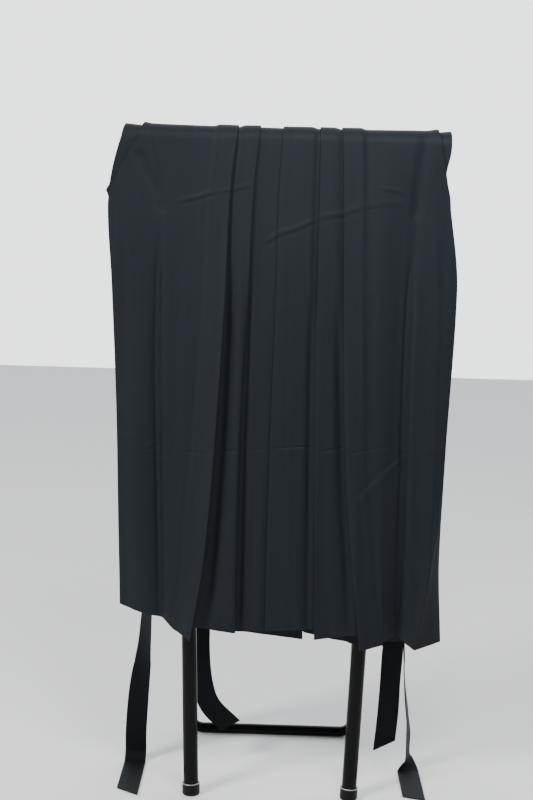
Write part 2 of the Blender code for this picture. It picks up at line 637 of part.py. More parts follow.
def build_stand():
    """The rack that the garment hangs on."""
    parts = [rod("stand_top_bar", Vector((-BAR_HALF, 0, BAR_HEIGHT)), Vector((BAR_HALF, 0, BAR_HEIGHT)),
                 BAR_RADIUS)]
    rear_ends = []
    for side, word in ((-1, "left"), (1, "right")):
        foot, head = leg_line(side * FRONT_TOP_X, Vector((side * FRONT_FOOT_X, FRONT_FOOT_Y, 0)))
        rise = (head - foot).normalized()
        parts.append(rod(f"stand_front_leg_{word}", foot + rise * (CAP_FLOOR + GAP), head, FRONT_RADIUS))
        parts.append(foot_cap(f"stand_front_foot_{word}", foot, head))
        foot, head = leg_line(side * REAR_TOP_X, Vector((side * REAR_FOOT_X, REAR_FOOT_Y, REAR_BAR_Z)))
        rear_ends.append((foot, head))
        rise = (head - foot).normalized()
        parts.append(rod(f"stand_rear_leg_{word}", foot + rise * (REAR_BEND + GAP), head, REAR_RADIUS))
        start = Vector((side * (BAR_HALF + GAP), 0, BAR_HEIGHT))
        end = start + Vector((side * PLUG_LENGTH, 0, 0))
        parts.append(rod(f"stand_bar_plug_{word}", start, end, BAR_RADIUS, RUBBER, 0.5))
    parts.append(rear_bar(rear_ends))
    return parts


def build_garment():
    """Every cut piece of the hakama."""
    front, back = Layer(FRONT), Layer(BACK)
    parts = [panel(name, front, places) for name, places in FRONT_PANELS.items()]
    parts += [panel(name, back, places) for name, places in BACK_PANELS.items()]
    parts.append(leg_wall("inner_leg_left", front, back, LEFT_WALL_STEP, 0))
    parts.append(leg_wall("inner_leg_right", front, back, RIGHT_WALL_STEP, 1))
    parts.append(crotch_gusset(front, back))
    parts.append(channel("front_waistband", front, -1, 3, FRONT_BAND))
    parts.append(channel("back_waistband", back, -1, 3, BACK_BAND))
    parts.append(back_board())
    front_out = fold_out(FRONT["right_one"], BAND_END) + 1.5 * PITCH
    back_out = 1.5 * PITCH
    parts.append(tie("front_tie_left", FRONT_BAND[0], -1, front_out))
    parts.append(tie("front_tie_right", FRONT_BAND[1], 1, front_out))
    parts.append(tie("back_tie_left", BACK_BAND[0], -1, back_out))
    parts.append(tie("back_tie_right", BACK_BAND[1], 1, back_out))
    return parts


def centre_on_floor(parts):
    """Hang every part on one empty that centres the whole on x = y = 0."""
    points = [part.matrix_world @ vertex.co for part in parts for vertex in part.data.vertices]
    root = bpy.data.objects.new("root", None)
    bpy.context.collection.objects.link(root)
    low = Vector([min(p[axis] for p in points) for axis in range(3)])
    high = Vector([max(p[axis] for p in points) for axis in range(3)])
    root.location = (-(low.x + high.x) / 2, -(low.y + high.y) / 2, -low.z)
    for part in parts:
        part.parent = root


def main():
    """Build the garment on its stand."""
    for old in list(bpy.data.objects):
        bpy.data.objects.remove(old, do_unlink=True)
    centre_on_floor(build_garment() + build_stand())


main()
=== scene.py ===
"""The look of a pair of dark hakama trousers draped over a tubular rack stand.

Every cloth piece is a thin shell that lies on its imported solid's form. The
trousers hang over the rack's top bar: the legs fall in front and the waist
behind. A place on the cloth is given by three lengths in metres:

    x    across the garment, from the middle of the rack
    run  along the cloth from the crest of the bar, + to the hem, - to the waist
    out  outward from the surface that wraps the bar and lies on the rack's legs
"""

import logging
import math
from dataclasses import dataclass
from enum import Enum
from functools import partial

import bpy
import numpy as np
from mathutils import Matrix, Vector

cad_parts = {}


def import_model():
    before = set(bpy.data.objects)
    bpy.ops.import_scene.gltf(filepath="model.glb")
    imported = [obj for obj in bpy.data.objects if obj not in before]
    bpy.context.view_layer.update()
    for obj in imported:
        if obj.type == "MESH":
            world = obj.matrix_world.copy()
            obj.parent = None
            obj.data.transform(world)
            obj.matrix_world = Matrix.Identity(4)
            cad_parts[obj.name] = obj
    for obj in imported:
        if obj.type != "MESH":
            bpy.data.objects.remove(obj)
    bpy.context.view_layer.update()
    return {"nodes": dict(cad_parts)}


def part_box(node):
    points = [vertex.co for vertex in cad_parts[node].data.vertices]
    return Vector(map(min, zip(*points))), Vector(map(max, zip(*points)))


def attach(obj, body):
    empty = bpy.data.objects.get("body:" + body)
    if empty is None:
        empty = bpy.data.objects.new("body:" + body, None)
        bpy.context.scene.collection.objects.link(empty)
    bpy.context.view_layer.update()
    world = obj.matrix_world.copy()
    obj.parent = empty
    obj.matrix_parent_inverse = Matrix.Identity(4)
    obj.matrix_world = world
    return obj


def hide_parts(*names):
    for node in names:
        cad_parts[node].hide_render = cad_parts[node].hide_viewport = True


LOG = logging.getLogger("scene")
MM = 0.001
BODY = "root"

# --------------------------------------------------------------- cloth sizes
WALL_MIDDLE = 0.0006  # middle of the bottom layer, outside the wrap surface
PITCH = 0.0015  # one cloth layer to the next
THICKNESS = 0.0006  # woven polyester
BAND_THICKNESS = 0.0011  # the ties and bands are folded double
CLEARANCE = 0.0006  # from an inner piece's edge to the layer that it meets
SEAM_GAP = 0.0003
TIE_WIDTH = 0.038
FRONT_BAND = (-0.170, 0.195)  # x of the waistbands' ends
BACK_BAND = (-0.103, 0.193)

# places along the cloth
WAIST_RUN = -0.125
BAND_OPEN = -0.118  # mouth of the waistbands
BAND_END = -0.156  # their folded edge
UNDER_BAND = -0.153  # the panels' raw edge, inside them
BOARD_END = -0.213
CROTCH_RUN = 0.470
CREASE_RUN = 0.530  # the fold line of how it was stored
HEM_RUN = 0.850
X_RUNS = (WAIST_RUN, 0.0, 0.130, 0.260, CREASE_RUN, 0.700, HEM_RUN)
OUT_RUNS = (WAIST_RUN, 0.0, 0.130, CREASE_RUN, HEM_RUN)
SECTION_SPANS = (
    # start, end, spacing of a panel's sections
    (UNDER_BAND, -0.024, 0.0060),
    (-0.024, 0.030, 0.0018),
    (0.030, 0.200, 0.0028),
    (0.200, 0.500, 0.0050),
    (0.500, 0.565, 0.0019),
    (0.565, HEM_RUN, 0.0045),
)

Grid = np.ndarray
Triple = tuple[float, float, float]


# ------------------------------------------------------------------ helpers
def smooth_share(value: Grid | float, low: float, high: float) -> Grid:
    """Ease from 0 to 1 between two values.

    Args:
        value: Where to read the ease.
        low: The value at and below which it is 0.
        high: The value at and above which it is 1.

    Returns:
        The eased share, the shape of value.
    """
    t = np.clip((np.asarray(value, float) - low) / (high - low), 0, 1)
    return t * t * (3 - 2 * t)


def smooth_column(knots: tuple[float, ...], values: tuple[float, ...], at: Grid) -> Grid:
    """Read a table's column along a smooth curve that never overshoots.

    Args:
        knots: The lengths at which the column is given.
        values: The column.
        at: Where to read it.

    Returns:
        The column's value at each length, level beyond its ends.
    """
    k, v = np.asarray(knots, float), np.asarray(values, float)
    rates = np.diff(v) / np.diff(k)
    before, after = np.append(0.0, rates), np.append(rates, rates[-1])
    same_way = before * after > 0
    slopes = np.where(same_way, 2 * before * after / np.where(same_way, before + after, 1), 0)
    at = np.clip(np.asarray(at, float), k[0], k[-1])
    i = np.clip(np.searchsorted(k, at, side="right") - 1, 0, len(k) - 2)
    width = k[i + 1] - k[i]
    t = (at - k[i]) / width
    return (
        (1 + 2 * t) * (1 - t) ** 2 * v[i]
        + t * (1 - t) ** 2 * width * slopes[i]
        + t * t * (3 - 2 * t) * v[i + 1]
        - t * t * (1 - t) * width * slopes[i + 1]
    )


# --------------------------------------------------------------- the finishes
class Slot(str, Enum):
    """The record's material slots."""

    CLOTH = "cloth"
    TIE_CLOTH = "tie_cloth"
    TUBE = "tube"
    RUBBER = "rubber"


class ShaderGraph:
    """A short way to wire a procedural material."""

    def __init__(self, name: str) -> None:
        """Start a material with only its principled shader.

        Args:
            name: The material's name.
        """
        self.material = bpy.data.materials.new(name)
        self.material.use_nodes = True
        self.nodes = self.material.node_tree.nodes
        self.links = self.material.node_tree.links
        self.shader = self.nodes["Principled BSDF"]

    def set(self, **values: float | tuple[float, ...]) -> None:
        """Set sockets of the principled shader.

        Args:
            **values: Socket names with underscores for spaces, and their values.
        """
        for name, value in values.items():
            self.shader.inputs[name.replace("_", " ")].default_value = value

    def add(self, kind: str, **inputs: object) -> bpy.types.Node:
        """Add a node and fill or link its inputs.

        Args:
            kind: The node's type.
            **inputs: Socket names with underscores for spaces, to values or outputs.

        Returns:
            The new node.
        """
        node = self.nodes.new(kind)
        for name, value in inputs.items():
            socket = node.inputs[name.replace("_", " ")]
            if isinstance(value, bpy.types.NodeSocket):
                self.links.new(value, socket)
            else:
                socket.default_value = value
        return node

    def noise(self, where: bpy.types.NodeSocket, stretch: Triple, detail: float) -> bpy.types.NodeSocket:
        """A noise field stretched along the three directions of a coordinate.

        Args:
            where: The coordinate.
            stretch: Grains for each metre, each way.
            detail: The noise's detail.

        Returns:
            The noise, from 0 to 1.
        """
        place = self.add("ShaderNodeMapping", Vector=where, Scale=stretch).outputs["Vector"]
        return self.add("ShaderNodeTexNoise", Vector=place, Scale=1.0, Detail=detail).outputs["Fac"]


@dataclass(frozen=True)
class ClothFinish:
    """Smooth dark woven polyester.

    Attributes:
        name: The material's name.
        colour: The dyed yarn.
        shade: A darker yarn that shows in irregular warp streaks.
        roughness: Of the weave.
        specular: Strength of its reflections.
        sheen: Brightness of the soft light that the nap gives at a slant.
        streaks: Warp streaks for each metre of width.
        relief: Depth of the weave and the streaks, in metres.
        streak_grain: Their breaks for each metre of length.
        mottle: Uneven dye, in patches for each metre across and along.
        weave: The same for the weave's threads.
        tint: Colour of the sheen.
    """

    name: str
    colour: Triple
    shade: Triple
    roughness: float = 0.62
    specular: float = 0.14
    sheen: float = 0.05
    streaks: float = 150.0
    relief: float = 0.00012
    streak_grain: float = 2.2
    mottle: Triple = (55.0, 38.0, 1.0)
    weave: Triple = (1900.0, 700.0, 1.0)
    tint: Triple = (0.62, 0.74, 0.86)

    def make(self) -> bpy.types.Material:
        """Wire the material.

        Returns:
            The material; its cloth runs along the mesh's second coordinate.
        """
        g = ShaderGraph(self.name)
        where = g.add("ShaderNodeUVMap").outputs["UV"]
        g.nodes["UV Map"].uv_map = "cut"
        streak = g.noise(where, (self.streaks, self.streak_grain, 1.0), 4.0)
        mottle = g.noise(where, self.mottle, 3.0)
        weave = g.noise(where, self.weave, 1.0)
        mixed = g.add("ShaderNodeMix", Factor=0.28)
        mixed.data_type = "FLOAT"
        g.links.new(streak, mixed.inputs[2])
        g.links.new(mottle, mixed.inputs[3])
        ramp = g.add("ShaderNodeValToRGB", Fac=mixed.outputs[0])
        stops = ramp.color_ramp.elements
        for stop, place, colour in zip(stops, (0.34, 0.64), (self.shade, self.colour)):
            stop.position = place
            stop.color = (*colour, 1)
        g.links.new(ramp.outputs["Color"], g.shader.inputs["Base Color"])
        height = g.add("ShaderNodeMath")
        height.operation = "MULTIPLY_ADD"
        g.links.new(weave, height.inputs[0])
        height.inputs[1].default_value = 0.5
        g.links.new(streak, height.inputs[2])
        bump = g.add("ShaderNodeBump", Strength=0.6, Distance=self.relief, Height=height.outputs[0])
        g.links.new(bump.outputs["Normal"], g.shader.inputs["Normal"])
        g.set(
            Roughness=self.roughness,
            Specular_IOR_Level=self.specular,
            Sheen_Weight=self.sheen,
            Sheen_Roughness=0.45,
            Sheen_Tint=(*self.tint, 1.0),
        )
        return g.material


@dataclass(frozen=True)
class CoatFinish:
    """A plain coat, such as enamel, rubber or bare metal.

    Attributes:
        name: The material's name.
        colour: Its base colour.
        roughness: Of the surface.
        metallic: 1 for bare metal.
        specular: Strength of its reflections.
        waver: How much the roughness varies over the surface.
        marks: Handling marks for each metre across, across and along.
    """

    name: str
    colour: Triple
    roughness: float
    metallic: float = 0.0
    specular: float = 0.5
    waver: float = 0.06
    marks: Triple = (60.0, 60.0, 9.0)

    def make(self) -> bpy.types.Material:
        """Wire the material.

        Returns:
            The material, its roughness varied by handling marks.
        """
        g = ShaderGraph(self.name)
        where = g.add("ShaderNodeTexCoord").outputs["Object"]
        marks = g.noise(where, self.marks, 4.0)
        low, high = self.roughness - self.waver, self.roughness + self.waver
        spread = g.add("ShaderNodeMapRange", Value=marks, To_Min=low, To_Max=high)
        g.links.new(spread.outputs["Result"], g.shader.inputs["Roughness"])
        g.set(Base_Color=(*self.colour, 1.0), Metallic=self.metallic, Specular_IOR_Level=self.specular)
        return g.material


CLOTH = ClothFinish("hakama_cloth", colour=(0.0076, 0.0108, 0.0144), shade=(0.0064, 0.0091, 0.0122))
BAND = ClothFinish(
    "band_cloth",
    colour=(0.0027, 0.0039, 0.0056),
    shade=(0.0022, 0.0032, 0.0046),
    specular=0.09,
    sheen=0.03,
    streaks=260.0,
)
ENAMEL = CoatFinish("black_enamel", (0.0020, 0.0020, 0.0024), 0.09, specular=0.11, waver=0.02)
RUBBER = CoatFinish("black_rubber", (0.004, 0.004, 0.004), 0.45, specular=0.15)
# painted highlight: a light grey metal ring stands in for the light that the top of each black foot cap
# catches
HIGHLIGHT_RIM = CoatFinish("painted_highlight_rim", (0.30, 0.30, 0.29), 0.38, metallic=0.7)


# ---------------------------------------------------------- where cloth lies
@dataclass(frozen=True)
class Saddle:
    """The surface that wraps the rack's top bar and lies on its legs.

    Attributes:
        centre: The middle of the top bar.
        radius: Inner face of the cloth round the bar's axis.
        front_lean: How far the front fall leans out, in radians.
        rear_lean: The same behind.
    """

    centre: Vector
    radius: float = 0.0133
    front_lean: float = math.atan2(0.090, 1.1035)
    rear_lean: float = math.atan2(0.178, 1.0941)

    def points(self, x: Grid, run: Grid, out: Grid) -> Grid:
        """Turn places on the cloth into points.

        Args:
            x: Across the garment.
            run: Along the cloth from the bar's crest.
            out: Outward from the surface.

        Returns:
            The points, with a last axis of three.
        """
        x, run, out = np.broadcast_arrays(x, run, out)
        side = np.where(run >= 0, -1.0, 1.0)
        lean = np.where(run >= 0, self.front_lean, self.rear_lean)
        turn = np.minimum(np.abs(run) / self.radius, math.pi / 2 - lean)
        straight = np.abs(run) - self.radius * turn
        reach = self.radius + out
        y = side * (reach * np.sin(turn) + straight * np.sin(lean))
        z = reach * np.cos(turn) - straight * np.cos(lean)
        return np.stack([x + self.centre.x, y + self.centre.y, z + self.centre.z], axis=-1)

    def point(self, x: float, run: float, out: float) -> Vector:
        """One place on the cloth as a vector.

        Args:
            x: Across the garment.
            run: Along the cloth from the bar's crest.
            out: Outward from the surface.

        Returns:
            The place.
        """
        return Vector(self.points(x, run, out))

    def run_at(self, height: float) -> float:
        """Run down the front fall at which the surface has a height over the floor.

        Args:
            height: The height.

        Returns:
            The run.
        """
        turn = math.pi / 2 - self.front_lean
        drop = self.centre.z + self.radius * math.cos(turn) - height
        return self.radius * turn + drop / math.cos(self.front_lean)


@dataclass(frozen=True)
class Fold:
    """One fold line down a layer: x at seven runs, and mm outward at five.

    Attributes:
        waist, bar, upper, high, mid, low, hem: x at the runs of X_RUNS.
        out_waist, out_bar, out_upper, out_mid, out_hem: outward, in millimetres.
        under: Side to which a pleat's return lies, +1 is +X.
        stand_off: Millimetres that a pleat's edge stands open at the hem.
    """

    waist: float
    bar: float
    upper: float
    high: float
    mid: float
    low: float
    hem: float
    out_waist: float
    out_bar: float
    out_upper: float
    out_mid: float
    out_hem: float
    under: int = 0
    stand_off: float = 0.0

    def x(self, run: Grid) -> Grid:
        """x of the fold line at some runs."""
        places = (self.waist, self.bar, self.upper, self.high, self.mid, self.low, self.hem)
        return smooth_column(X_RUNS, places, run)

    def out(self, run: Grid) -> Grid:
        """Metres that the fold line lies outside the wrap surface."""
        outs = (self.out_waist, self.out_bar, self.out_upper, self.out_mid, self.out_hem)
        return smooth_column(OUT_RUNS, outs, run) * MM


FRONT = {
    # waist, bar, upper, high, mid, low, hem; out at waist, bar, upper, mid, hem; under, stand off
    "left_side": Fold(-0.165, -0.2378, -0.2965, -0.2880, -0.2740, -0.2700, -0.2660, 20, 14, 4, -10, -30),
    "left_fall": Fold(-0.158, -0.2335, -0.2510, -0.2450, -0.2390, -0.2335, -0.2260, 20, 13, 9, 5, -9),
    "left_valley": Fold(-0.150, -0.2285, -0.2085, -0.2085, -0.2032, -0.1965, -0.1895, 20, 12, 3.6, -2, -6),
    "left_ridge": Fold(-0.140, -0.2180, -0.1985, -0.1985, -0.1930, -0.1865, -0.1795, 20, 11.5, 5.5, 4, 5),
    "left_one": Fold(-0.062, -0.0840, -0.0955, -0.0978, -0.1090, -0.1200, -0.1405, 20, 9.5, 8, 12, 19, -1, 14),
    "left_two": Fold(-0.030, -0.0475, -0.0570, -0.0600, -0.0685, -0.0688, -0.0662, 20, 10, 7, 8, 9, -1, 10),
    "right_one": Fold(0.000, -0.0085, -0.0136, -0.0137, -0.0168, -0.0172, -0.0162, 20, 9.5, 7, 7, 8, 1, 3),
    "right_two": Fold(0.048, 0.0523, 0.0537, 0.0540, 0.0580, 0.0635, 0.0665, 20, 10, 7, 9, 14, 1, 8),
    "right_three": Fold(0.078, 0.0885, 0.0943, 0.0980, 0.1085, 0.1235, 0.1430, 20, 10, 8, 12, 21, 1, 5),
    "right_face": Fold(0.135, 0.1620, 0.1660, 0.1680, 0.1690, 0.1730, 0.1810, 20, 11, 11, 14, 20),
    "right_valley": Fold(0.170, 0.2285, 0.2135, 0.2066, 0.2070, 0.2071, 0.2070, 20, 12, 3, -1.2, -5),
    "right_lip": Fold(0.174, 0.2330, 0.2270, 0.2195, 0.2200, 0.2195, 0.2180, 20, 12.5, 4, 0.8, -2),
    "right_ridge": Fold(0.180, 0.2385, 0.2430, 0.2560, 0.2600, 0.2590, 0.2362, 20, 13.5, 5, 1, 7),
    "right_side": Fold(0.190, 0.2455, 0.2720, 0.2868, 0.2780, 0.2745, 0.2825, 20, 14.5, 4, -5, -20),
}

BACK = {
    "left_side": Fold(-0.100, -0.2695, -0.2965, -0.2880, -0.2740, -0.2700, -0.2660, 0, 11, 1, -14, -34),
    "left_leg_out": Fold(-0.092, -0.1930, -0.1890, -0.1840, -0.1740, -0.1680, -0.1620, 0, 4, 0, 0, 0),
    "left_leg_in": Fold(-0.076, -0.1580, -0.1550, -0.1500, -0.1400, -0.1345, -0.1290, 0, 2, 0, 0, 0),
    "left_pleat": Fold(0.010, 0.0000, -0.0100, -0.0150, -0.0300, -0.0400, -0.0500, 0, 0, 0, -8, -15, -1, 0),
    "right_pleat": Fold(0.062, 0.0720, 0.0770, 0.0800, 0.0880, 0.0930, 0.0980, 0, 0, 0, -7, -13, 1, 0),
    "right_leg_in": Fold(0.120, 0.1580, 0.1550, 0.1500, 0.1400, 0.1345, 0.1290, 0, 2, 0, 0, 0),
    "right_leg_out": Fold(0.150, 0.1930, 0.1890, 0.1840, 0.1740, 0.1680, 0.1620, 0, 4, 0, 0, 0),
    "right_side": Fold(0.190, 0.2680, 0.2720, 0.2868, 0.2780, 0.2745, 0.2825, 0, 11.5, 1, -8.5, -24),
}


@dataclass(frozen=True)
class Corner:
    """A corner of a panel's section, measured from one of its fold lines.

    Attributes:
        fold: The fold line, or "division" for the line between the legs.
        hem: Height of the hem over the floor there.
        share: Share of the pleat's return, away from its edge.
        step: Metres further the same way.
        level: Cloth layers above the base.
        lifted: Whether it is on the edge that stands open.
        soft: Radius to which the corner is rounded, in millimetres.
    """

    fold: str
    hem: float
    share: float = 0.0
    step: float = 0.0
    level: int = 0
    lifted: bool = False
    soft: float = 0.8


def open_edge(fold: str, hem: float, *levels: int) -> tuple[Corner, ...]:
    """Corners of a pleat's edge, which stands open at the hem.

    Args:
        fold: The pleat's fold line.
        hem: Height of the hem over the floor there.
        *levels: Cloth layers above the base, in order.

    Returns:
        The corners.
    """
    return tuple(Corner(fold, hem, level=level, lifted=True) for level in levels)


NUDGE_WIDTH = 0.035  # how far in from the edge a nudge reaches


@dataclass(frozen=True)
class Nudge:
    """A short stray of a side edge from its fold line.

    Attributes:
        side: The side, +1 is +X.
        run: Where along the cloth it is greatest.
        spread: How far along the cloth it reaches.
        shift: How far the edge strays toward +X, in millimetres.
    """

    side: int
    run: float
    spread: float
    shift: float

    def move(self, x: Grid, edge: Grid, run: Grid) -> Grid:
        """How far places move toward +X.

        Args:
            x: The places.
            edge: x of the side edge.
            run: Their runs.

        Returns:
            The movement in metres, fading to none away from the edge.
        """
        inward = self.side * (edge - x)
        near = 1 - smooth_share(inward, 0.0, NUDGE_WIDTH)
        return self.shift * MM * near * np.exp(-(((run - self.run) / self.spread) ** 2))


@dataclass(frozen=True)
class Layer:
    """The front or the back of the garment.

    Attributes:
        folds: Its fold lines from left to right.
        nudges: Where its side edges stray from their fold lines.
    """

    folds: dict[str, Fold]
    nudges: tuple[Nudge, ...] = ()

    def base_out(self, x: Grid, run: Grid) -> Grid:
        """Inner face of the bottom layer.

        Args:
            x: Across the garment.
            run: Along the cloth.

        Returns:
            Metres that it lies outside the wrap surface.
        """
        lines = list(self.folds.values())
        result = lines[0].out(run)
        for low, high in zip(lines, lines[1:]):
            start, end = low.x(run), high.x(run)
            share = np.clip((x - start) / (end - start), 0, 1)
            result = np.where(x > start, low.out(run) + share * (high.out(run) - low.out(run)), result)
        return result

    def corner(self, corner: Corner, run: Grid, saddle: Saddle) -> Grid:
        """A section's corner at some runs.

        Args:
            corner: The corner.
            run: The runs, in one row.
            saddle: The surface that the cloth lies on.

        Returns:
            x, out and the run of the hem for each run.
        """
        if corner.fold == "division":
            x, lift = division_x(run) + corner.step, 0.0
        else:
            fold = self.folds[corner.fold]
            aside = corner.step + (corner.share * underlap(corner.fold, run) if corner.share else 0.0)
            x = fold.x(run) + fold.under * aside
            lift = fold.stand_off * MM * np.maximum(run / HEM_RUN, 0) ** 0.7 if corner.lifted else 0.0
        out = self.base_out(x, run) + corner.level * PITCH + WALL_MIDDLE + lift
        return np.stack([x, out, np.full_like(x, saddle.run_at(corner.hem))], axis=-1)


RIGHT_THREE_UNDERLAP = 0.030
BACK_UNDERLAP = 0.024
LEFT_ONE_UNDERLAP = (0.022, 0.008, 0.60)  # at the hem, how much more above, and to which run
UNDERLAP_SHARES = {
    # share of the distance between two fold lines
    "left_two": (0.60, "left_one", "left_two"),
    "right_one": (0.78, "right_one", "right_two"),
    "right_two": (0.60, "right_two", "right_three"),
}


def underlap(name: str, run: Grid) -> Grid:
    """Width of a pleat's return.

    Args:
        name: The pleat.
        run: Where along the cloth.

    Returns:
        The width at each run.
    """
    if name in UNDERLAP_SHARES:
        share, first, second = UNDERLAP_SHARES[name]
        return share * (FRONT[second].x(run) - FRONT[first].x(run))
    if name == "left_one":
        hem, more, until = LEFT_ONE_UNDERLAP
        return hem + more * (1 - smooth_share(run, until, HEM_RUN))
    return np.full_like(run, RIGHT_THREE_UNDERLAP if name == "right_three" else BACK_UNDERLAP)


def division_x(run: Grid) -> Grid:
    """x of the line that parts the two trouser legs."""
    return FRONT["right_one"].x(run) + underlap("right_one", run)


# ------------------------------------------------------------------- creases
class CreaseKind(Enum):
    """How the cloth shows a crease, as (ridge, trough, trough's width share)."""

    TROUGH = (0.0, 1.0, 1.0)
    RIDGE = (1.0, 0.0, 1.0)
    PRESSED = (0.25, 1.0, 0.55)
    TENSION = (0.9, 0.7, 0.6)


TROUGH, RIDGE, PRESSED, TENSION = CreaseKind


@dataclass(frozen=True)
class Crease:
    """A crease in the cloth, over every layer where it runs.

    Attributes:
        kind: How it shows.
        depth: In millimetres.
        width: Half its width, in millimetres.
        line: Its (x, run) places from end to end.
        ease: Metres over which it fades out at each end, at most.
    """

    kind: CreaseKind
    depth: float
    width: float
    line: tuple[tuple[float, float], ...]
    ease: float = 0.020

    def relief(self, x: Grid, run: Grid) -> Grid:
        """Metres that the crease moves the cloth outward.

        Args:
            x: Across the garment.
            run: Along the cloth.

        Returns:
            The movement at each place.
        """
        ridge, trough, narrow = self.kind.value
        spots = np.asarray(self.line, float)
        legs = np.diff(spots, axis=0)
        lengths = np.hypot(legs[:, 0], legs[:, 1])
        before = np.concatenate([[0], np.cumsum(lengths)])
        nearest = np.full(x.shape, np.inf)
        aside, along = np.zeros(x.shape), np.zeros(x.shape)
        for (x0, run0), (dx, drun), length, start in zip(spots, legs, lengths, before):
            t = np.clip(((x - x0) * dx + (run - run0) * drun) / length**2, 0, 1)
            off_x, off_run = x - x0 - t * dx, run - run0 - t * drun
            distance = np.hypot(off_x, off_run)
            closer = distance < nearest
            nearest = np.where(closer, distance, nearest)
            upward = np.where(off_x * drun - off_run * dx >= 0, 1.0, -1.0)
            aside = np.where(closer, upward * distance, aside)
            along = np.where(closer, start + t * length, along)
        end = min(0.3 * before[-1], self.ease)
        fade = smooth_share(along, 0, end) * (1 - smooth_share(along, before[-1] - end, before[-1]))
        width = self.width * MM
        lit = ridge * np.exp(-(((aside - 0.9 * width) / width) ** 2))
        dark = trough * np.exp(-((aside / (narrow * width)) ** 2))
        return self.depth * MM * (lit - dark) * fade


LEFT_GAPS = (
    # the cloth falls away beneath the open edges of the two left-hand pleats
    Crease(TROUGH, 9.5, 13.0,
           ((-0.089, 0.180), (-0.093, 0.330), (-0.098, 0.530), (-0.107, 0.690),
            (-0.121, 0.900)), 0.180),
    Crease(TROUGH, 5.5, 7.0, ((-0.058, 0.220), (-0.062, 0.530), (-0.060, 0.900)), 0.120),
)

FRONT_CREASES = (
    # the fold lines of how it was stored, which cross every face a little apart
    Crease(PRESSED, 0.7, 3.0, ((-0.267, 0.5454), (-0.237, 0.5378), (-0.205, 0.5352))),
    Crease(PRESSED, 1.4, 3.0, ((-0.199, 0.5400), (-0.190, 0.5455), (-0.178, 0.5575))),
    Crease(PRESSED, 0.6, 3.0, ((-0.172, 0.5385), (-0.125, 0.5388), (-0.108, 0.5333))),
    Crease(PRESSED, 1.5, 2.6, ((-0.101, 0.5336), (-0.084, 0.5342), (-0.064, 0.5345))),
    Crease(PRESSED, 1.0, 2.6, ((-0.060, 0.5345), (-0.040, 0.5318), (-0.014, 0.5279))),
    Crease(PRESSED, 1.9, 2.8, ((-0.016, 0.5288), (0.0253, 0.5243), (0.0600, 0.5251))),
    Crease(PRESSED, 1.9, 2.8, ((0.0580, 0.5317), (0.0838, 0.5276), (0.1110, 0.5219))),
    Crease(PRESSED, 1.5, 3.0, ((0.1100, 0.5329), (0.1585, 0.5232), (0.2110, 0.5150))),
    Crease(PRESSED, 0.8, 3.0, ((0.2264, 0.5409), (0.2512, 0.5351), (0.2780, 0.5310))),
    # the second pull, from the right-hand side fold down over the face
    Crease(TENSION, 2.0, 6.0,
           ((0.2065, 0.5317), (0.1722, 0.5619), (0.1400, 0.5964), (0.1200, 0.6137))),
    # slack pulls under the bar
    Crease(TENSION, 1.9, 4.2,
           ((-0.184, 0.1290), (-0.155, 0.1216), (-0.132, 0.1144), (-0.114, 0.1106))),
    Crease(TENSION, 0.9, 4.2, ((-0.126, 0.1120), (-0.094, 0.1070), (-0.050, 0.0960))),
    Crease(TENSION, 1.7, 4.6,
           ((-0.040, 0.1960), (-0.010, 0.1767), (0.026, 0.1641), (0.055, 0.1490))),
    Crease(TENSION, 1.1, 5.5, ((0.045, 0.1510), (0.0964, 0.1408), (0.129, 0.1285))),
    Crease(TENSION, 0.6, 6.0, ((0.110, 0.1340), (0.162, 0.1226), (0.206, 0.1247))),
    Crease(TENSION, 1.1, 3.6, ((0.150, 0.0966), (0.1775, 0.0993), (0.199, 0.1070))),
    # soft gathers that run up from the side folds to the bar
    Crease(TROUGH, 2.6, 8.0,
           ((-0.249, 0.036), (-0.236, 0.0696), (-0.2187, 0.105), (-0.208, 0.150))),
    Crease(TROUGH, 0.8, 5.0, ((-0.232, 0.004), (-0.227, 0.032), (-0.2215, 0.056), (-0.213, 0.120))),
    Crease(TROUGH, 2.2, 9.0, ((0.229, -0.004), (0.220, 0.044), (0.2147, 0.097), (0.2125, 0.150))),
    # puckers along the left side fold
    Crease(TENSION, 0.9, 4.0, ((-0.268, 0.5226), (-0.256, 0.5205), (-0.244, 0.5219))),
    Crease(TENSION, 1.3, 3.6, ((-0.226, 0.5364), (-0.216, 0.5330), (-0.200, 0.5260))),
    Crease(TENSION, 1.3, 3.8, ((-0.226, 0.6174), (-0.215, 0.6130), (-0.199, 0.6035))),
    Crease(TROUGH, 1.2, 5.0, ((-0.208, 0.470), (-0.204, 0.500), (-0.206, 0.528))),
    # the cloth sinks a little before the edge of a pleat
    Crease(TROUGH, 4.2, 8.0,
           ((0.044, 0.240), (0.046, 0.380), (0.050, 0.640), (0.055, 0.900)), 0.140),
    Crease(TROUGH, 4.6, 8.0,
           ((0.086, 0.240), (0.096, 0.420), (0.108, 0.620), (0.130, 0.880)), 0.160),
    # both side valleys close up to a sharp fold
    Crease(TROUGH, 5.0, 6.0,
           ((-0.2120, 0.150), (-0.2105, 0.390), (-0.2055, 0.530), (-0.1990, 0.700),
            (-0.1920, 0.900)), 0.120),
    Crease(TROUGH, 9.5, 5.4,
           ((0.2100, 0.170), (0.2072, 0.390), (0.2076, 0.530), (0.2078, 0.700),
            (0.2078, 0.900)), 0.160),
    # the pressed line of the right flap
    Crease(RIDGE, 0.9, 2.6,
           ((0.2680, 0.590), (0.2684, 0.660), (0.2612, 0.6941), (0.2502, 0.7619), (0.2363, 0.8469))),
    # the low right flap gives a little above its pressed ridge
    Crease(TROUGH, 2.2, 8.0, ((0.206, 0.680), (0.2243, 0.7181), (0.2386, 0.7431), (0.250, 0.772))),
)

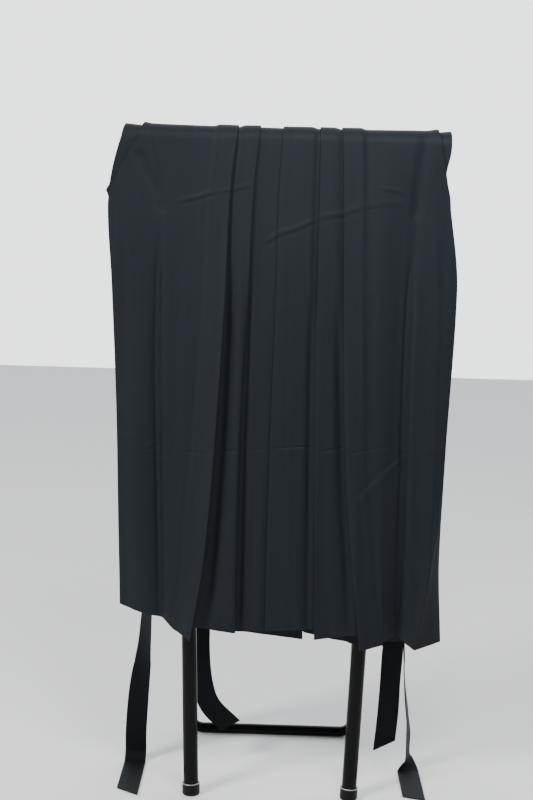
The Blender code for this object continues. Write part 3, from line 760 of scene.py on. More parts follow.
BACK_CREASES = (
    Crease(PRESSED, 1.1, 3.0, ((-0.262, 0.548), (-0.120, 0.541), (-0.010, 0.536))),
    Crease(PRESSED, 1.3, 3.0, ((0.006, 0.532), (0.110, 0.527), (0.270, 0.534))),
    Crease(TENSION, 1.0, 6.0, ((0.190, 0.560), (0.120, 0.610), (0.070, 0.640))),
    Crease(TENSION, 1.0, 6.0, ((-0.210, 0.190), (-0.120, 0.165), (-0.060, 0.158))),
)


@dataclass(frozen=True)
class Wave:
    """A long soft unevenness of the hanging cloth.

    Attributes:
        height: In millimetres.
        across: Its length across the garment.
        down: Its length down the cloth.
        start: Where it starts, in turns.
    """

    height: float
    across: float
    down: float
    start: float

    def relief(self, x: Grid, run: Grid) -> Grid:
        """Metres that the wave moves the cloth outward.

        Args:
            x: Across the garment.
            run: Along the cloth.

        Returns:
            The movement, none near the bar, where the cloth is drawn tight.
        """
        turns = x / self.across + run / self.down + self.start
        return self.height * MM * smooth_share(run, 0.02, 0.25) * np.sin(math.tau * turns)


WAVES = (
    Wave(0.45, 0.072, 1.90, 0.10),
    Wave(0.30, 0.041, -1.30, 0.45),
    Wave(0.50, 0.310, 0.370, 0.70),
    Wave(0.18, 0.023, 2.60, 0.25),
)


def relief_of(creases: tuple[Crease, ...], x: Grid, run: Grid) -> Grid:
    """All that creases and waves move the cloth outward.

    Args:
        creases: The creases of one side of the garment.
        x: Across the garment.
        run: Along the cloth.

    Returns:
        The movement in metres.
    """
    total = np.zeros(x.shape)
    for mark in (*creases, *WAVES):
        total += mark.relief(x, run)
    return total


# ------------------------------------------------------------- making shells
SHARP_TURN = 1.2  # radians between faces that look sharp


def flow(corners: Grid, soft: Grid, spacing: float, turn_steps: int = 4) -> Grid:
    """Round a section's corners and fill its straights.

    Args:
        corners: Rows of corners; the first two channels are a place, in metres.
        soft: The radius of each corner, in metres.
        spacing: Greatest gap between points on a straight.
        turn_steps: Parts into which each rounded corner is cut.

    Returns:
        Rows of points with the same channels, as many in each row.
    """
    legs = np.diff(corners, axis=1)
    lengths = np.maximum(np.linalg.norm(legs[..., :2], axis=-1), 1e-7)
    points, leaves = [corners[:, 0]], corners[:, 0]
    for i in range(1, corners.shape[1]):
        corner, last = corners[:, i], i == corners.shape[1] - 1
        reach = (not last) * np.minimum(soft[i], 0.49 * lengths[:, i - 1 : i + 1].min(axis=1))
        enters = corner - legs[:, i - 1] * (reach / lengths[:, i - 1])[:, None]
        gap = np.linalg.norm((enters - leaves)[:, :2], axis=-1).max()
        parts = max(int(math.ceil(gap / spacing)), 1)
        points += [leaves + (enters - leaves) * k / parts for k in range(1, parts)]
        if last:
            points.append(corner)
            break
        leaves = corner + legs[:, i] * (reach / lengths[:, i])[:, None]
        for t in np.linspace(0, 1, turn_steps + 1):
            points.append((1 - t) ** 2 * enters + 2 * t * (1 - t) * corner + t * t * leaves)
    return np.stack(points, axis=1)


def grid_normals(points: Grid) -> Grid:
    """Unit normals of a grid, its row direction crossed with its column direction.

    Args:
        points: The grid.

    Returns:
        The normals.
    """
    normal = np.cross(np.gradient(points, axis=0), np.gradient(points, axis=1))
    return normal / np.maximum(np.linalg.norm(normal, axis=-1, keepdims=True), 1e-12)


def grid_quads(rows: int, columns: int, first: int, flipped: bool) -> list[tuple[int, int, int, int]]:
    """Faces between the points of a grid.

    Args:
        rows: Its rows.
        columns: Its columns.
        first: Index of its first point.
        flipped: Whether the faces look the other way.

    Returns:
        The faces as point indices.
    """
    index = first + np.arange(rows * columns).reshape(rows, columns)
    around = (index[:-1, :-1], index[1:, :-1], index[1:, 1:], index[:-1, 1:])
    quads = np.stack(around, axis=-1).reshape(-1, 4)
    return (quads[:, ::-1] if flipped else quads).tolist()


def add_object(mesh: bpy.types.Mesh) -> bpy.types.Object:
    """Put a mesh in the scene.

    Args:
        mesh: The mesh.

    Returns:
        Its object, with the same name.
    """
    made = bpy.data.objects.new(mesh.name, mesh)
    bpy.context.scene.collection.objects.link(made)
    return made


def shell(name: str, middle: Grid, cut: Grid, thickness: float) -> bpy.types.Object:
    """A closed thin wall round a grid of points.

    Args:
        name: The piece's name.
        middle: Points on the middle of the wall.
        cut: For each point, its place on the flat cloth, in metres.
        thickness: Of the wall.

    Returns:
        The piece, with its place on the flat cloth as the coordinate "cut".
    """
    rows, columns = middle.shape[:2]
    half = grid_normals(middle) * thickness / 2
    points = np.concatenate([(middle + half).reshape(-1, 3), (middle - half).reshape(-1, 3)])
    faces = grid_quads(rows, columns, 0, False) + grid_quads(rows, columns, rows * columns, True)
    top = np.arange(rows * columns).reshape(rows, columns)
    low = top + rows * columns
    for upper, lower, turned in (
        (top[:, 0], low[:, 0], False),
        (top[:, -1], low[:, -1], True),
        (top[0], low[0], True),
        (top[-1], low[-1], False),
    ):
        rim = np.stack([upper[:-1], lower[:-1], lower[1:], upper[1:]], axis=-1)
        faces += (rim[:, ::-1] if turned else rim).tolist()
    mesh = bpy.data.meshes.new(name)
    mesh.from_pydata(points.tolist(), [], faces)
    corners = np.zeros(len(mesh.loops), int)
    mesh.loops.foreach_get("vertex_index", corners)
    flat = np.concatenate([cut.reshape(-1, 2)] * 2)
    mesh.uv_layers.new(name="cut").data.foreach_set("uv", flat[corners].ravel())
    mesh.shade_smooth()
    mesh.set_sharp_from_angle(angle=SHARP_TURN)
    return add_object(mesh)


def stepped(*spans: Triple) -> Grid:
    """Lengths from span to span, each cut at its own spacing.

    Args:
        *spans: (start, end, spacing) of each span, end to end.

    Returns:
        The lengths in order.
    """
    parts = []
    for start, end, gap in spans:
        parts.append(np.linspace(start, end, int(math.ceil((end - start) / gap)), endpoint=False))
    return np.concatenate([*parts, [spans[-1][1]]])


def smooth_path(spots: Grid, parts: int) -> Grid:
    """Points on a smooth curve through some spots.

    Args:
        spots: The spots, with any number of channels.
        parts: Points for each gap between spots.

    Returns:
        The points.
    """
    ends = np.concatenate([[2 * spots[0] - spots[1]], spots, [2 * spots[-1] - spots[-2]]])
    points = []
    for a, b, c, d in zip(ends, ends[1:], ends[2:], ends[3:]):
        bend, twist = 2 * a - 5 * b + 4 * c - d, 3 * b - a - 3 * c + d
        for t in np.arange(parts) / parts:
            points.append(0.5 * (2 * b + (c - a) * t + bend * t**2 + twist * t**3))
    return np.array([*points, spots[-1]])


# ------------------------------------------------------------ the sewn pieces
@dataclass(frozen=True)
class Cut:
    """The flat cut of a sheet of cloth.

    Attributes:
        width: In metres.
        length: In metres.
        area: In square metres, where the cut isn't a rectangle.
    """

    width: float
    length: float
    area: float | None = None


@dataclass(frozen=True)
class Panel:
    """One cut width of the garment, folded into its pleats, waist to hem.

    Attributes:
        name: Its CAD node.
        corners: Its section from one side to the other.
        creases: The creases of its side of the garment.
        cut: Its flat cut; not used.
        layer: The layer that it belongs to.
        spacing: Gap between its points across the cloth, in metres.
        detail: How closely its sections follow each other, 1 for the front.
    """

    name: str
    corners: tuple[Corner, ...]
    creases: tuple[Crease, ...]
    cut: Cut
    layer: Layer
    spacing: float = 0.0034
    detail: float = 1.0

    def runs(self) -> Grid:
        """Where along the cloth its sections lie."""
        return stepped(*((start, end, gap * (1 / self.detail)) for start, end, gap in SECTION_SPANS))

    def middle(self, saddle: Saddle) -> tuple[Grid, Grid]:
        """The points on the middle of its wall, and their places on the cut.

        Args:
            saddle: The surface that it lies on.

        Returns:
            The points and the places.
        """
        runs = self.runs()
        sections = np.stack([self.layer.corner(c, runs, saddle) for c in self.corners], axis=1)
        soft = np.array([c.soft for c in self.corners]) * MM
        line = flow(sections, soft, self.spacing)
        x, out, hem = line[..., 0], line[..., 1], line[..., 2]
        run = runs[:, None] + smooth_share(runs, CREASE_RUN, HEM_RUN)[:, None] * (hem - HEM_RUN)
        for nudge in self.layer.nudges:
            edge = self.layer.folds["right_side" if nudge.side > 0 else "left_side"].x(runs)
            x = x + nudge.move(x, edge[:, None], runs[:, None])
        out = out + relief_of(self.creases, x, run)
        steps = np.hypot(np.diff(x, axis=1), np.diff(out, axis=1)).mean(axis=0)
        across = np.broadcast_to(np.concatenate([[0], np.cumsum(steps)]), x.shape)
        return saddle.points(x, run, out), np.stack([across, run], axis=-1)

    def build(self, saddle: Saddle) -> bpy.types.Object:
        """Make the piece.

        Args:
            saddle: The surface that the cloth lies on.

        Returns:
            The piece.
        """
        return shell(f"{self.name}_cloth", *self.middle(saddle), THICKNESS)


@dataclass(frozen=True)
class Band:
    """A waistband: a strip folded round the raw edge of a layer's panels.

    Attributes:
        name: Its CAD node.
        layer: The layer that it holds.
        ends: x of its two ends.
        cut: Its flat cut; not used.
        levels: The cloth levels of its two sides.
        soft: Radius of its folded edge.
        wave: Height and length of its unevenness.
    """

    name: str
    layer: Layer
    ends: tuple[float, float]
    cut: Cut
    levels: tuple[int, int] = (-1, 3)
    soft: float = 0.0022
    wave: tuple[float, float] = (0.35 * MM, 0.019)

    def build(self, saddle: Saddle) -> bpy.types.Object:
        """Make the piece.

        Args:
            saddle: The surface that the cloth lies on.

        Returns:
            The piece.
        """
        middle_x = np.array([sum(self.ends) / 2])
        line = []
        for run, level in ((BAND_OPEN, 0), (BAND_END, 0), (BAND_END, 1), (BAND_OPEN, 1)):
            base = self.layer.base_out(middle_x, np.array([run]))[0]
            line.append((run, base + self.levels[level] * PITCH + WALL_MIDDLE))
        section = flow(np.array([line]), np.full(4, self.soft), 0.004)[0]
        x = stepped((*self.ends, 0.006))[:, None]
        run, out = section[None, :, 0], section[None, :, 1]
        height, length = self.wave
        out = out + height * np.sin(x / length) * smooth_share(run, BAND_END, BAND_OPEN)
        along = np.concatenate([[0], np.cumsum(np.linalg.norm(np.diff(section, axis=0), axis=1))])
        places = np.stack(np.broadcast_arrays(along[None, :], x), axis=-1)
        return shell(f"{self.name}_cloth", saddle.points(x, run, out), places, BAND_THICKNESS)


@dataclass(frozen=True)
class BackBoard:
    """The stiff cloth-covered board above the back waistband.

    Attributes:
        cut: Its flat cut; not used.
        name: Its CAD node.
        foot_inset: How far its foot lies in from the band's ends.
        top_inset: The same at its top.
        thickness: Of the covered board.
        out: Its middle, outward from the surface.
        foot, top: Along the cloth.
        rows, columns: Points up and across it.
    """

    cut: Cut
    name: str = "back_board"
    foot_inset: float = 0.004
    top_inset: float = 0.045
    thickness: float = 0.0028
    out: float = 0.0021
    foot: float = BAND_END - 0.0011
    top: float = BOARD_END + 0.0002
    rows: int = 15
    columns: int = 49

    def build(self, saddle: Saddle) -> bpy.types.Object:
        """Make the piece, its rim rounded and its faces a little full.

        Args:
            saddle: The surface that the cloth lies on.

        Returns:
            The piece.
        """
        rows = np.linspace(0, 1, self.rows)[:, None]
        columns = np.linspace(0, 1, self.columns)[None, :]
        inset = self.foot_inset + (self.top_inset - self.foot_inset) * rows
        left, right = BACK_BAND[0] + inset, BACK_BAND[1] - inset
        x = left + (right - left) * columns
        run = np.broadcast_to(self.foot + (self.top - self.foot) * rows, x.shape)
        full = (4 * rows * (1 - rows)) ** 0.35 * (4 * columns * (1 - columns)) ** 0.12
        faces = [saddle.points(x, run, self.out + side * self.thickness / 2 * full) for side in (1, -1)]
        piece = shell(f"{self.name}_cloth", sum(faces) / 2, np.stack([x, run], axis=-1), self.thickness)
        top, under = (piece.data.vertices[first + x.size // 2].co.y for first in (0, x.size))
        points = np.stack(faces if top > under else faces[::-1])
        piece.data.vertices.foreach_set("co", points.ravel())
        return piece


def inside(x: Grid, run: Grid, front_level: int = 0) -> tuple[Grid, Grid]:
    """The space within a trouser leg.

    Args:
        x: Across the garment.
        run: Along the cloth.
        front_level: Front cloth layers that it ends under.

    Returns:
        How far out it starts, over the back's three layers, and ends.
    """
    near = GARMENT_BACK.base_out(x, run) + 3 * PITCH + CLEARANCE
    return near, GARMENT_FRONT.base_out(x, run) + front_level * PITCH - CLEARANCE


@dataclass(frozen=True)
class LegWall:
    """The inner wall of one trouser leg, from the crotch to the hem.

    Attributes:
        name: Its CAD node.
        step: How far it lies back from the line between the legs.
        front_level: Front cloth layers that it stops under.
        cut: Its flat cut; not used.
        hem: Height of its hem over the floor.
        bow: Height and length of its unevenness.
    """

    name: str
    step: float
    front_level: int
    cut: Cut
    hem: float = 0.290
    bow: tuple[float, float] = (0.8 * MM, 0.043)

    def build(self, saddle: Saddle) -> bpy.types.Object:
        """Make the piece.

        Args:
            saddle: The surface that the cloth lies on.

        Returns:
            The piece.
        """
        runs = stepped((CROTCH_RUN, HEM_RUN, 0.008))
        x = division_x(runs) - self.step
        near, far = inside(x, runs, self.front_level)
        share = np.linspace(0, 1, 9)[None, :]
        out = near[:, None] + (far - near)[:, None] * share
        height, length = self.bow
        bow = height * np.sin(math.pi * share) * np.sin(runs[:, None] / length)
        fall = saddle.run_at(self.hem) - HEM_RUN
        run = runs[:, None] + smooth_share(runs, CREASE_RUN, HEM_RUN)[:, None] * fall + 0 * share
        places = np.stack([out, run], axis=-1)
        return shell(f"{self.name}_cloth", saddle.points(x[:, None] + bow, run, out), places, THICKNESS)


@dataclass(frozen=True)
class Gusset:
    """The piece folded over between the tops of the two inner leg walls.

    Attributes:
        cut: Its flat cut; not used.
        name: Its CAD node.
        half: Half its width when folded.
        middle: How far its middle lies back from the line between the legs.
        drop: How far its two sides hang.
        soft: Radius of its fold.
    """

    cut: Cut
    name: str = "crotch_gusset"
    half: float = 0.0037
    middle: float = 0.0085
    drop: float = 0.070
    soft: float = 0.0036

    def build(self, saddle: Saddle) -> bpy.types.Object:
        """Make the piece.

        Args:
            saddle: The surface that the cloth lies on.

        Returns:
            The piece.
        """
        low = CROTCH_RUN + self.drop
        left, right = -self.half, self.half
        corners = np.array([[(left, low), (left, CROTCH_RUN), (right, CROTCH_RUN), (right, low)]])
        section = flow(corners, np.full(4, self.soft), 0.006, 6)[0]
        aside, run = section[:, 0][None, :], section[:, 1][None, :]
        x = division_x(run) - self.middle + aside
        near, far = inside(x, run)
        share = np.linspace(0, 1, 9)[:, None]
        out = near + share * (far - near)
        x, run = np.broadcast_to(x, out.shape), np.broadcast_to(run, out.shape)
        places = np.stack([out, run], axis=-1)
        return shell(f"{self.name}_cloth", saddle.points(x, run, out), places, THICKNESS)


QUARTER_TURN = [math.pi / 8 * step for step in range(5)]


@dataclass(frozen=True)
class TieRow:
    """One place down a hanging tie.

    Attributes:
        z: Height over the floor.
        x: Across the garment.
        y: Behind the bar's axis.
        turn: Degrees that the face has turned about the vertical.
        tilt: Degrees that the tie leans inward, going down.
    """

    z: float
    x: float
    y: float
    turn: float
    tilt: float = 0.0


@dataclass(frozen=True)
class Tie:
    """A flat tie of folded cloth, with a free end.

    Attributes:
        name: Its CAD node.
        side: The side that it leaves its band by, +1 is +X.
        band_end: x of the end of its band.
        out: How far its band lies outside the wrap surface.
        rows: Its places from the top down.
        cut: Its flat cut, not folded; not used.
        slant: How far the two edges of its end reach past its middle.
        floor_length: How much of it lies on the floor.
        folds: Heights at which it was folded for storage.
        pivot_inset: From its band's edge to the point that it turns down about.
        floor_bend: Radius of its bend onto the floor.
        floor_clear: Its underside's height over the floor.
        cup: Height and length of the waves in how its section cups.
        ripple: The same of its twist to and fro.
        mark: Depth and reach of the mark of a storage fold.
        end_reach: Length over which its end takes up its slant.
        path_parts: Sections for each gap between its places.
        columns: Points across it.
    """

    name: str
    side: int
    band_end: float
    out: float
    rows: tuple[TieRow, ...]
    cut: Cut
    slant: tuple[float, float]
    floor_length: float = 0.0
    folds: tuple[float, ...] = ()
    pivot_inset: float = 0.002
    floor_bend: float = 0.022
    floor_clear: float = 0.00195
    cup: tuple[float, float] = (0.9 * MM, 0.061)
    ripple: tuple[float, float] = (0.35 * MM, 0.013)
    mark: tuple[float, float] = (1.5 * MM, 0.004)
    end_reach: float = 0.012
    path_parts: int = 14
    columns: int = 11

    def route(self, saddle: Saddle) -> Grid:
        """Places down the tie, from the band to the free end.

        Args:
            saddle: The surface that the cloth lies on.

        Returns:
            The middle and the half-width arrow of each section.
        """
        offset = Vector((saddle.centre.x, saddle.centre.y, 0))
        up = (saddle.point(0, BAND_OPEN, 0) - saddle.point(0, BAND_END, 0)).normalized()
        outward = Vector((self.side, 0, 0))
        seam = self.band_end + self.side * SEAM_GAP
        pivot = saddle.point(seam, BAND_END - self.pivot_inset, self.out)
        half = TIE_WIDTH / 2
        spots = []
        for turn in QUARTER_TURN:
            arm = up * math.cos(turn) + outward * math.sin(turn)
            spots.append((*(pivot + arm * (self.pivot_inset + half)), *(arm * half)))
        for row in self.rows:
            turn, tilt = math.radians(row.turn), math.radians(row.tilt)
            level = Vector((self.side * math.cos(turn), math.sin(turn), 0))
            arm = (level * math.cos(tilt) - Vector((0, 0, math.sin(tilt)))) * half
            spots.append((*(Vector((row.x, row.y, row.z)) + offset), *arm))
        last, arm = Vector(spots[-1][:3]), Vector(spots[-1][3:])
        if self.floor_length:
            across = Vector((self.side, 0, 0)) * half
            middle = Vector((last.x, last.y - self.floor_bend, self.floor_clear + self.floor_bend))
            for turn in QUARTER_TURN:
                bend = Vector((0, math.cos(turn), -math.sin(turn))) * self.floor_bend
                turned = arm.lerp(across, turn / QUARTER_TURN[-1]).normalized() * half
                spots.append((*(middle + bend), *turned))
            for share in (0.5, 1.0):
                ahead = Vector((0, self.floor_length * share, self.floor_bend))
                spots.append((*(middle - ahead), *across))
        return np.array(spots)

    def build(self, saddle: Saddle) -> bpy.types.Object:
        """Make the piece, a little cupped, with a mark at each storage fold.

        Args:
            saddle: The surface that the cloth lies on.

        Returns:
            The piece.
        """
        path = smooth_path(self.route(saddle), self.path_parts)
        middle, arm = path[:, :3], path[:, 3:]
        arm = arm / np.linalg.norm(arm, axis=1, keepdims=True) * TIE_WIDTH / 2
        ahead = np.gradient(middle, axis=0)
        ahead /= np.linalg.norm(ahead, axis=1, keepdims=True)
        face = np.cross(arm, ahead)
        face /= np.linalg.norm(face, axis=1, keepdims=True)
        across = np.linspace(-1, 1, self.columns)
        length = np.concatenate([[0], np.cumsum(np.linalg.norm(np.diff(middle, axis=0), axis=1))])
        hanging = smooth_share(middle[:, 2], 0.05, 0.12) * smooth_share(length, 0.03, 0.10)
        cup = 0.4 + 0.6 * np.sin(length / self.cup[1])
        cup = self.cup[0] * (across[None, :] ** 2 - 0.5) * cup[:, None]
        ripple = self.ripple[0] * np.sin(length / self.ripple[1])[:, None] * across[None, :]
        marks = np.zeros(len(length))
        for height in self.folds:
            marks += self.mark[0] * np.exp(-np.abs(middle[:, 2] - height) / self.mark[1])
        out = (cup + ripple) * hanging[:, None] - marks[:, None]
        points = middle[:, None] + arm[:, None] * across[None, :, None] + face[:, None] * out[..., None]
        reach = np.exp(-(length[-1] - length) / self.end_reach)[:, None]
        slant = np.interp(across, (-1, 1), self.slant)[None, :]
        points = points + ahead[:, None] * (reach * slant)[..., None]
        places = np.stack(np.broadcast_arrays(across[None, :] * TIE_WIDTH / 2, length[:, None]), axis=-1)
        return shell(f"{self.name}_cloth", points, places, BAND_THICKNESS)


# ---------------------------------------------------------- the garment itself
GARMENT_FRONT = Layer(FRONT)
GARMENT_BACK = Layer(BACK, (Nudge(-1, 0.107, 0.006, -5.0), Nudge(1, 0.068, 0.027, -8.5)))

LEFT_OUTER = (
    Corner("left_side", 0.3210, soft=3),
    Corner("left_fall", 0.3105, soft=16),
    Corner("left_valley", 0.3045, soft=4),
    Corner("left_ridge", 0.2970, soft=6),
    Corner("left_one", 0.2885, 1, 0.0085, soft=8),
    Corner("left_one", 0.2865, 1, 0.0015, 2, soft=5),
    *open_edge("left_one", 0.2755, 2, 1),
    Corner("left_one", 0.2860, 1, 0, 1),
)
LEFT_INNER = (
    Corner("left_one", 0.2960, 1),
    Corner("left_one", 0.2950, soft=2),
    Corner("left_one", 0.2945, 0, -0.0025, soft=4),
    Corner("left_two", 0.2925, 1, 0.003, 2, soft=4),
    *open_edge("left_two", 0.2872, 2, 1),
    Corner("left_two", 0.2915, 1, 0, 1),
    Corner("left_two", 0.2915, 1),
    Corner("left_two", 0.2900, soft=3),
    Corner("right_one", 0.2895, soft=3),
    Corner("right_one", 0.2885, 1, -0.012),
)
RIGHT_INNER = (
    Corner("right_one", 0.2930, 1, 0, 1),
    *open_edge("right_one", 0.2905, 1, 2),
    Corner("right_one", 0.2960, 1, 0.0015, 2, soft=5),
    Corner("right_one", 0.2965, 1, 0.0085, soft=7),
    Corner("right_two", 0.2960, soft=3),
    Corner("right_two", 0.2900, 1),
    Corner("right_two", 0.2895, 1, 0, 1),
    *open_edge("right_two", 0.2815, 1, 2),
    Corner("right_two", 0.2885, 1, 0.003, 2, soft=5),
    Corner("right_three", 0.2900, 0, -0.0025, soft=4),
    Corner("right_three", 0.2895, soft=2),
    Corner("right_three", 0.2890, 1),
)
RIGHT_OUTER = (
    Corner("right_three", 0.2730, 1, 0, 1),
    *open_edge("right_three", 0.2650, 1, 2),
    Corner("right_three", 0.2735, 1, 0.0015, 2, soft=5),
    Corner("right_three", 0.2745, 1, 0.0085, soft=8),
    Corner("right_face", 0.2800, soft=16),
    Corner("right_valley", 0.2860, soft=5),
    Corner("right_lip", 0.2760, soft=7),
    Corner("right_ridge", 0.2640, soft=2.2),
    Corner("right_side", 0.2745, soft=3),
)
BACK_LEFT = (
    Corner("left_side", 0.3230, soft=3),
    Corner("left_leg_out", 0.2980, soft=12),
    Corner("left_leg_in", 0.2920, soft=12),
    Corner("left_pleat", 0.2860, 1, soft=6),
    Corner("left_pleat", 0.2850),
    Corner("left_pleat", 0.2850, 0, 0, 1),
    Corner("left_pleat", 0.2840, 1, 0, 1),
    Corner("left_pleat", 0.2840, 1, 0, 2),
    Corner("left_pleat", 0.2830, 0, 0, 2, soft=2),
    Corner("division", 0.2735, 0, -0.0005, 2),
)
BACK_RIGHT = (
    Corner("division", 0.2860, 0, 0.0005, 2),
    Corner("right_pleat", 0.2755, 0, 0, 2, soft=2),
    Corner("right_pleat", 0.2760, 1, 0, 2),
    Corner("right_pleat", 0.2760, 1, 0, 1),
    Corner("right_pleat", 0.2755, 0, 0, 1),
    Corner("right_pleat", 0.2750),
    Corner("right_pleat", 0.2740, 1, soft=6),
    Corner("right_leg_in", 0.2710, soft=12),
    Corner("right_leg_out", 0.2740, soft=12),
    Corner("right_side", 0.2755, soft=3),
)

LEFT_FRONT_TIE_ROWS = (
    TieRow(0.900, -0.1930, 0.046, 0),
    TieRow(0.700, -0.2020, 0.046, 12),
    TieRow(0.480, -0.2150, 0.045, 40),
    TieRow(0.300, -0.2270, 0.044, 58),
    TieRow(0.210, -0.2320, 0.043, 46),
    TieRow(0.130, -0.2400, 0.041, 14),
    TieRow(0.060, -0.2440, 0.040, 4),
)
RIGHT_FRONT_TIE_ROWS = (
    TieRow(0.900, 0.2170, 0.046, 0),
    TieRow(0.700, 0.2220, 0.046, 25),
    TieRow(0.480, 0.2280, 0.045, 62),
    TieRow(0.300, 0.2320, 0.044, 78),
    TieRow(0.180, 0.2350, 0.043, 84),
    TieRow(0.100, 0.2440, 0.041, 80),
    TieRow(0.060, 0.2470, 0.040, 74),
)
LEFT_BACK_TIE_ROWS = (
    TieRow(0.900, -0.1220, 0.038, 0),
    TieRow(0.700, -0.1210, 0.038, 20),
    TieRow(0.480, -0.1260, 0.038, 24),
    TieRow(0.280, -0.1330, 0.040, 8),
    TieRow(0.200, -0.1325, 0.040, 0, 4),
    TieRow(0.145, -0.1251, 0.040, 0, 20),
    TieRow(0.106, -0.1099, 0.040, 0, 35),
    TieRow(0.071, -0.0745, 0.040, 0, 46),
)
RIGHT_BACK_TIE_ROWS = (
    TieRow(0.900, 0.2120, 0.038, 0),
    TieRow(0.700, 0.2110, 0.030, 6),
    TieRow(0.480, 0.2110, 0.020, 10),
    TieRow(0.280, 0.2110, 0.016, 6),
    TieRow(0.170, 0.2080, 0.015, 14),
    TieRow(0.110, 0.2060, 0.015, 8),
    TieRow(0.055, 0.2020, 0.015, 8),
)
FRONT_TIE_OUT = 20 * MM + 1.5 * PITCH
BACK_TIE_OUT = 1.5 * PITCH


@dataclass(frozen=True)
class Trousers:
    """The whole garment.

    Attributes:
        cloth: Finish of the panels.
        band: Finish of the bands and ties.
    """

    cloth: ClothFinish = CLOTH
    band: ClothFinish = BAND

    def panels(self) -> tuple[Panel | LegWall | Gusset, ...]:
        """The pieces cut from the trousers' cloth.

        Returns:
            Each piece's sizes and way of building.
        """
        front = partial(Panel, layer=GARMENT_FRONT)
        back = partial(Panel, layer=GARMENT_BACK, spacing=0.0060, detail=0.6)
        return (
            front("front_left_outer", LEFT_OUTER, FRONT_CREASES, Cut(0.25, 0.99, 0.20)),
            front("front_left_inner", LEFT_INNER, FRONT_CREASES + LEFT_GAPS, Cut(0.27, 0.98, 0.22)),
            front("front_right_inner", RIGHT_INNER, FRONT_CREASES, Cut(0.33, 0.98, 0.28)),
            front("front_right_outer", RIGHT_OUTER, FRONT_CREASES, Cut(0.24, 1.00, 0.20)),
            back("back_left", BACK_LEFT, BACK_CREASES, Cut(0.42, 0.98, 0.345)),
            back("back_right", BACK_RIGHT, BACK_CREASES, Cut(0.34, 1.00, 0.285)),
            LegWall("inner_leg_left", 0.014, 0, Cut(0.0155, 0.366)),
            LegWall("inner_leg_right", 0.003, 1, Cut(0.0170, 0.366)),
            Gusset(Cut(0.013, 0.146)),
        )

    def bands(self) -> tuple[Band | BackBoard | Tie, ...]:
        """The pieces folded from bands of cloth.

        Returns:
            Each piece's sizes and way of building.
        """
        return (
            Band("front_waistband", GARMENT_FRONT, FRONT_BAND, Cut(0.365, 0.080)),
            Band("back_waistband", GARMENT_BACK, BACK_BAND, Cut(0.296, 0.080)),
            BackBoard(Cut(0.288, 0.057, 0.0142)),
            Tie("front_tie_left", -1, FRONT_BAND[0], FRONT_TIE_OUT, LEFT_FRONT_TIE_ROWS,
                Cut(TIE_WIDTH, 1.15), (0.020, -0.005), floor_length=0.105, folds=(0.182,)),
            Tie("front_tie_right", 1, FRONT_BAND[1], FRONT_TIE_OUT, RIGHT_FRONT_TIE_ROWS,
                Cut(TIE_WIDTH, 1.15), (0.0, 0.012), floor_length=0.100, folds=(0.205,)),
            Tie("back_tie_left", -1, BACK_BAND[0], BACK_TIE_OUT, LEFT_BACK_TIE_ROWS,
                Cut(TIE_WIDTH, 0.99), (0.006, -0.004), folds=(0.345,)),
            Tie("back_tie_right", 1, BACK_BAND[1], BACK_TIE_OUT, RIGHT_BACK_TIE_ROWS,
                Cut(TIE_WIDTH, 0.97), (0.012, -0.006), folds=(0.230,)),
        )

    def build(self, saddle: Saddle) -> None:
        """Make every piece, dress it and tie it to the frame.

        Args:
            saddle: The surface that the cloth lies on.
        """
        for pieces, finish, slot in (
            (self.panels(), self.cloth, Slot.CLOTH),
            (self.bands(), self.band, Slot.TIE_CLOTH),
        ):
            material = finish.make()
            for spec in pieces:
                piece = spec.build(saddle)
                piece.data.materials.append(material)
                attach(piece, BODY)
                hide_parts(spec.name)
                LOG.info("%s: %d faces", spec.name, len(piece.data.polygons))


# ------------------------------------------------------------------ the stand
RIM_SIDES = 48
WIRE_SIDES = 12


@dataclass(frozen=True)
class Rack:
    """The tubular rack, whose packed tubes and caps take better finishes.

    Attributes:
        enamel: Finish of the tubes.
        rubber: Finish of the caps and plugs.
        rim: Finish of the light ring round each front cap, a painted highlight.
        rim_radius: Of the rim's ring.
        rim_wire: Radius of the rim's wire.
        rim_height: Of the rim over the floor.
    """

    enamel: CoatFinish = ENAMEL
    rubber: CoatFinish = RUBBER
    rim: CoatFinish = HIGHLIGHT_RIM
    rim_radius: float = 0.0142
    rim_wire: float = 0.0011
    rim_height: float = 0.0185

    def dress(self, nodes: dict[str, bpy.types.Object]) -> None:
        """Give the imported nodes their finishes.

        Args:
            nodes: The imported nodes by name.
        """
        enamel, rubber = self.enamel.make(), self.rubber.make()
        for name, node in nodes.items():
            if not name.startswith("stand_"):
                continue
            soft = "foot" in name or "plug" in name
            node.data.materials.clear()
            node.data.materials.append(rubber if soft else enamel)
            LOG.info("%s: dressed", name)

    def add_rims(self) -> None:
        """Lay a thin light ring round the top of each front cap, a painted highlight where the cap catches the
        light.
        """
        material = self.rim.make()
        for side in ("left", "right"):
            boxes = (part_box(f"stand_front_{part}_{side}") for part in ("foot", "leg"))
            foot, leg = ((low + high) / 2 for low, high in boxes)
            lean = (leg - foot).normalized()
            centre = foot + lean * (self.rim_height - foot.z)
            turn = Vector((0, 0, 1)).rotation_difference(lean).to_matrix()
            points, faces = [], []
            for i in range(RIM_SIDES):
                for k in range(WIRE_SIDES):
                    around, wire = math.tau * i / RIM_SIDES, math.tau * k / WIRE_SIDES
                    reach = self.rim_radius + self.rim_wire * math.cos(wire)
                    rise = self.rim_wire * math.sin(wire)
                    local = Vector((reach * math.cos(around), reach * math.sin(around), rise))
                    points.append(centre + turn @ local)
                    a, b, after = i * WIRE_SIDES, (i + 1) % RIM_SIDES * WIRE_SIDES, (k + 1) % WIRE_SIDES
                    faces.append((a + k, b + k, b + after, a + after))
            mesh = bpy.data.meshes.new(f"foot_highlight_rim_{side}")
            mesh.from_pydata(points, [], faces)
            mesh.shade_smooth()
            ring = add_object(mesh)
            mesh.materials.append(material)
            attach(ring, BODY)
            LOG.info("%s: added", ring.name)


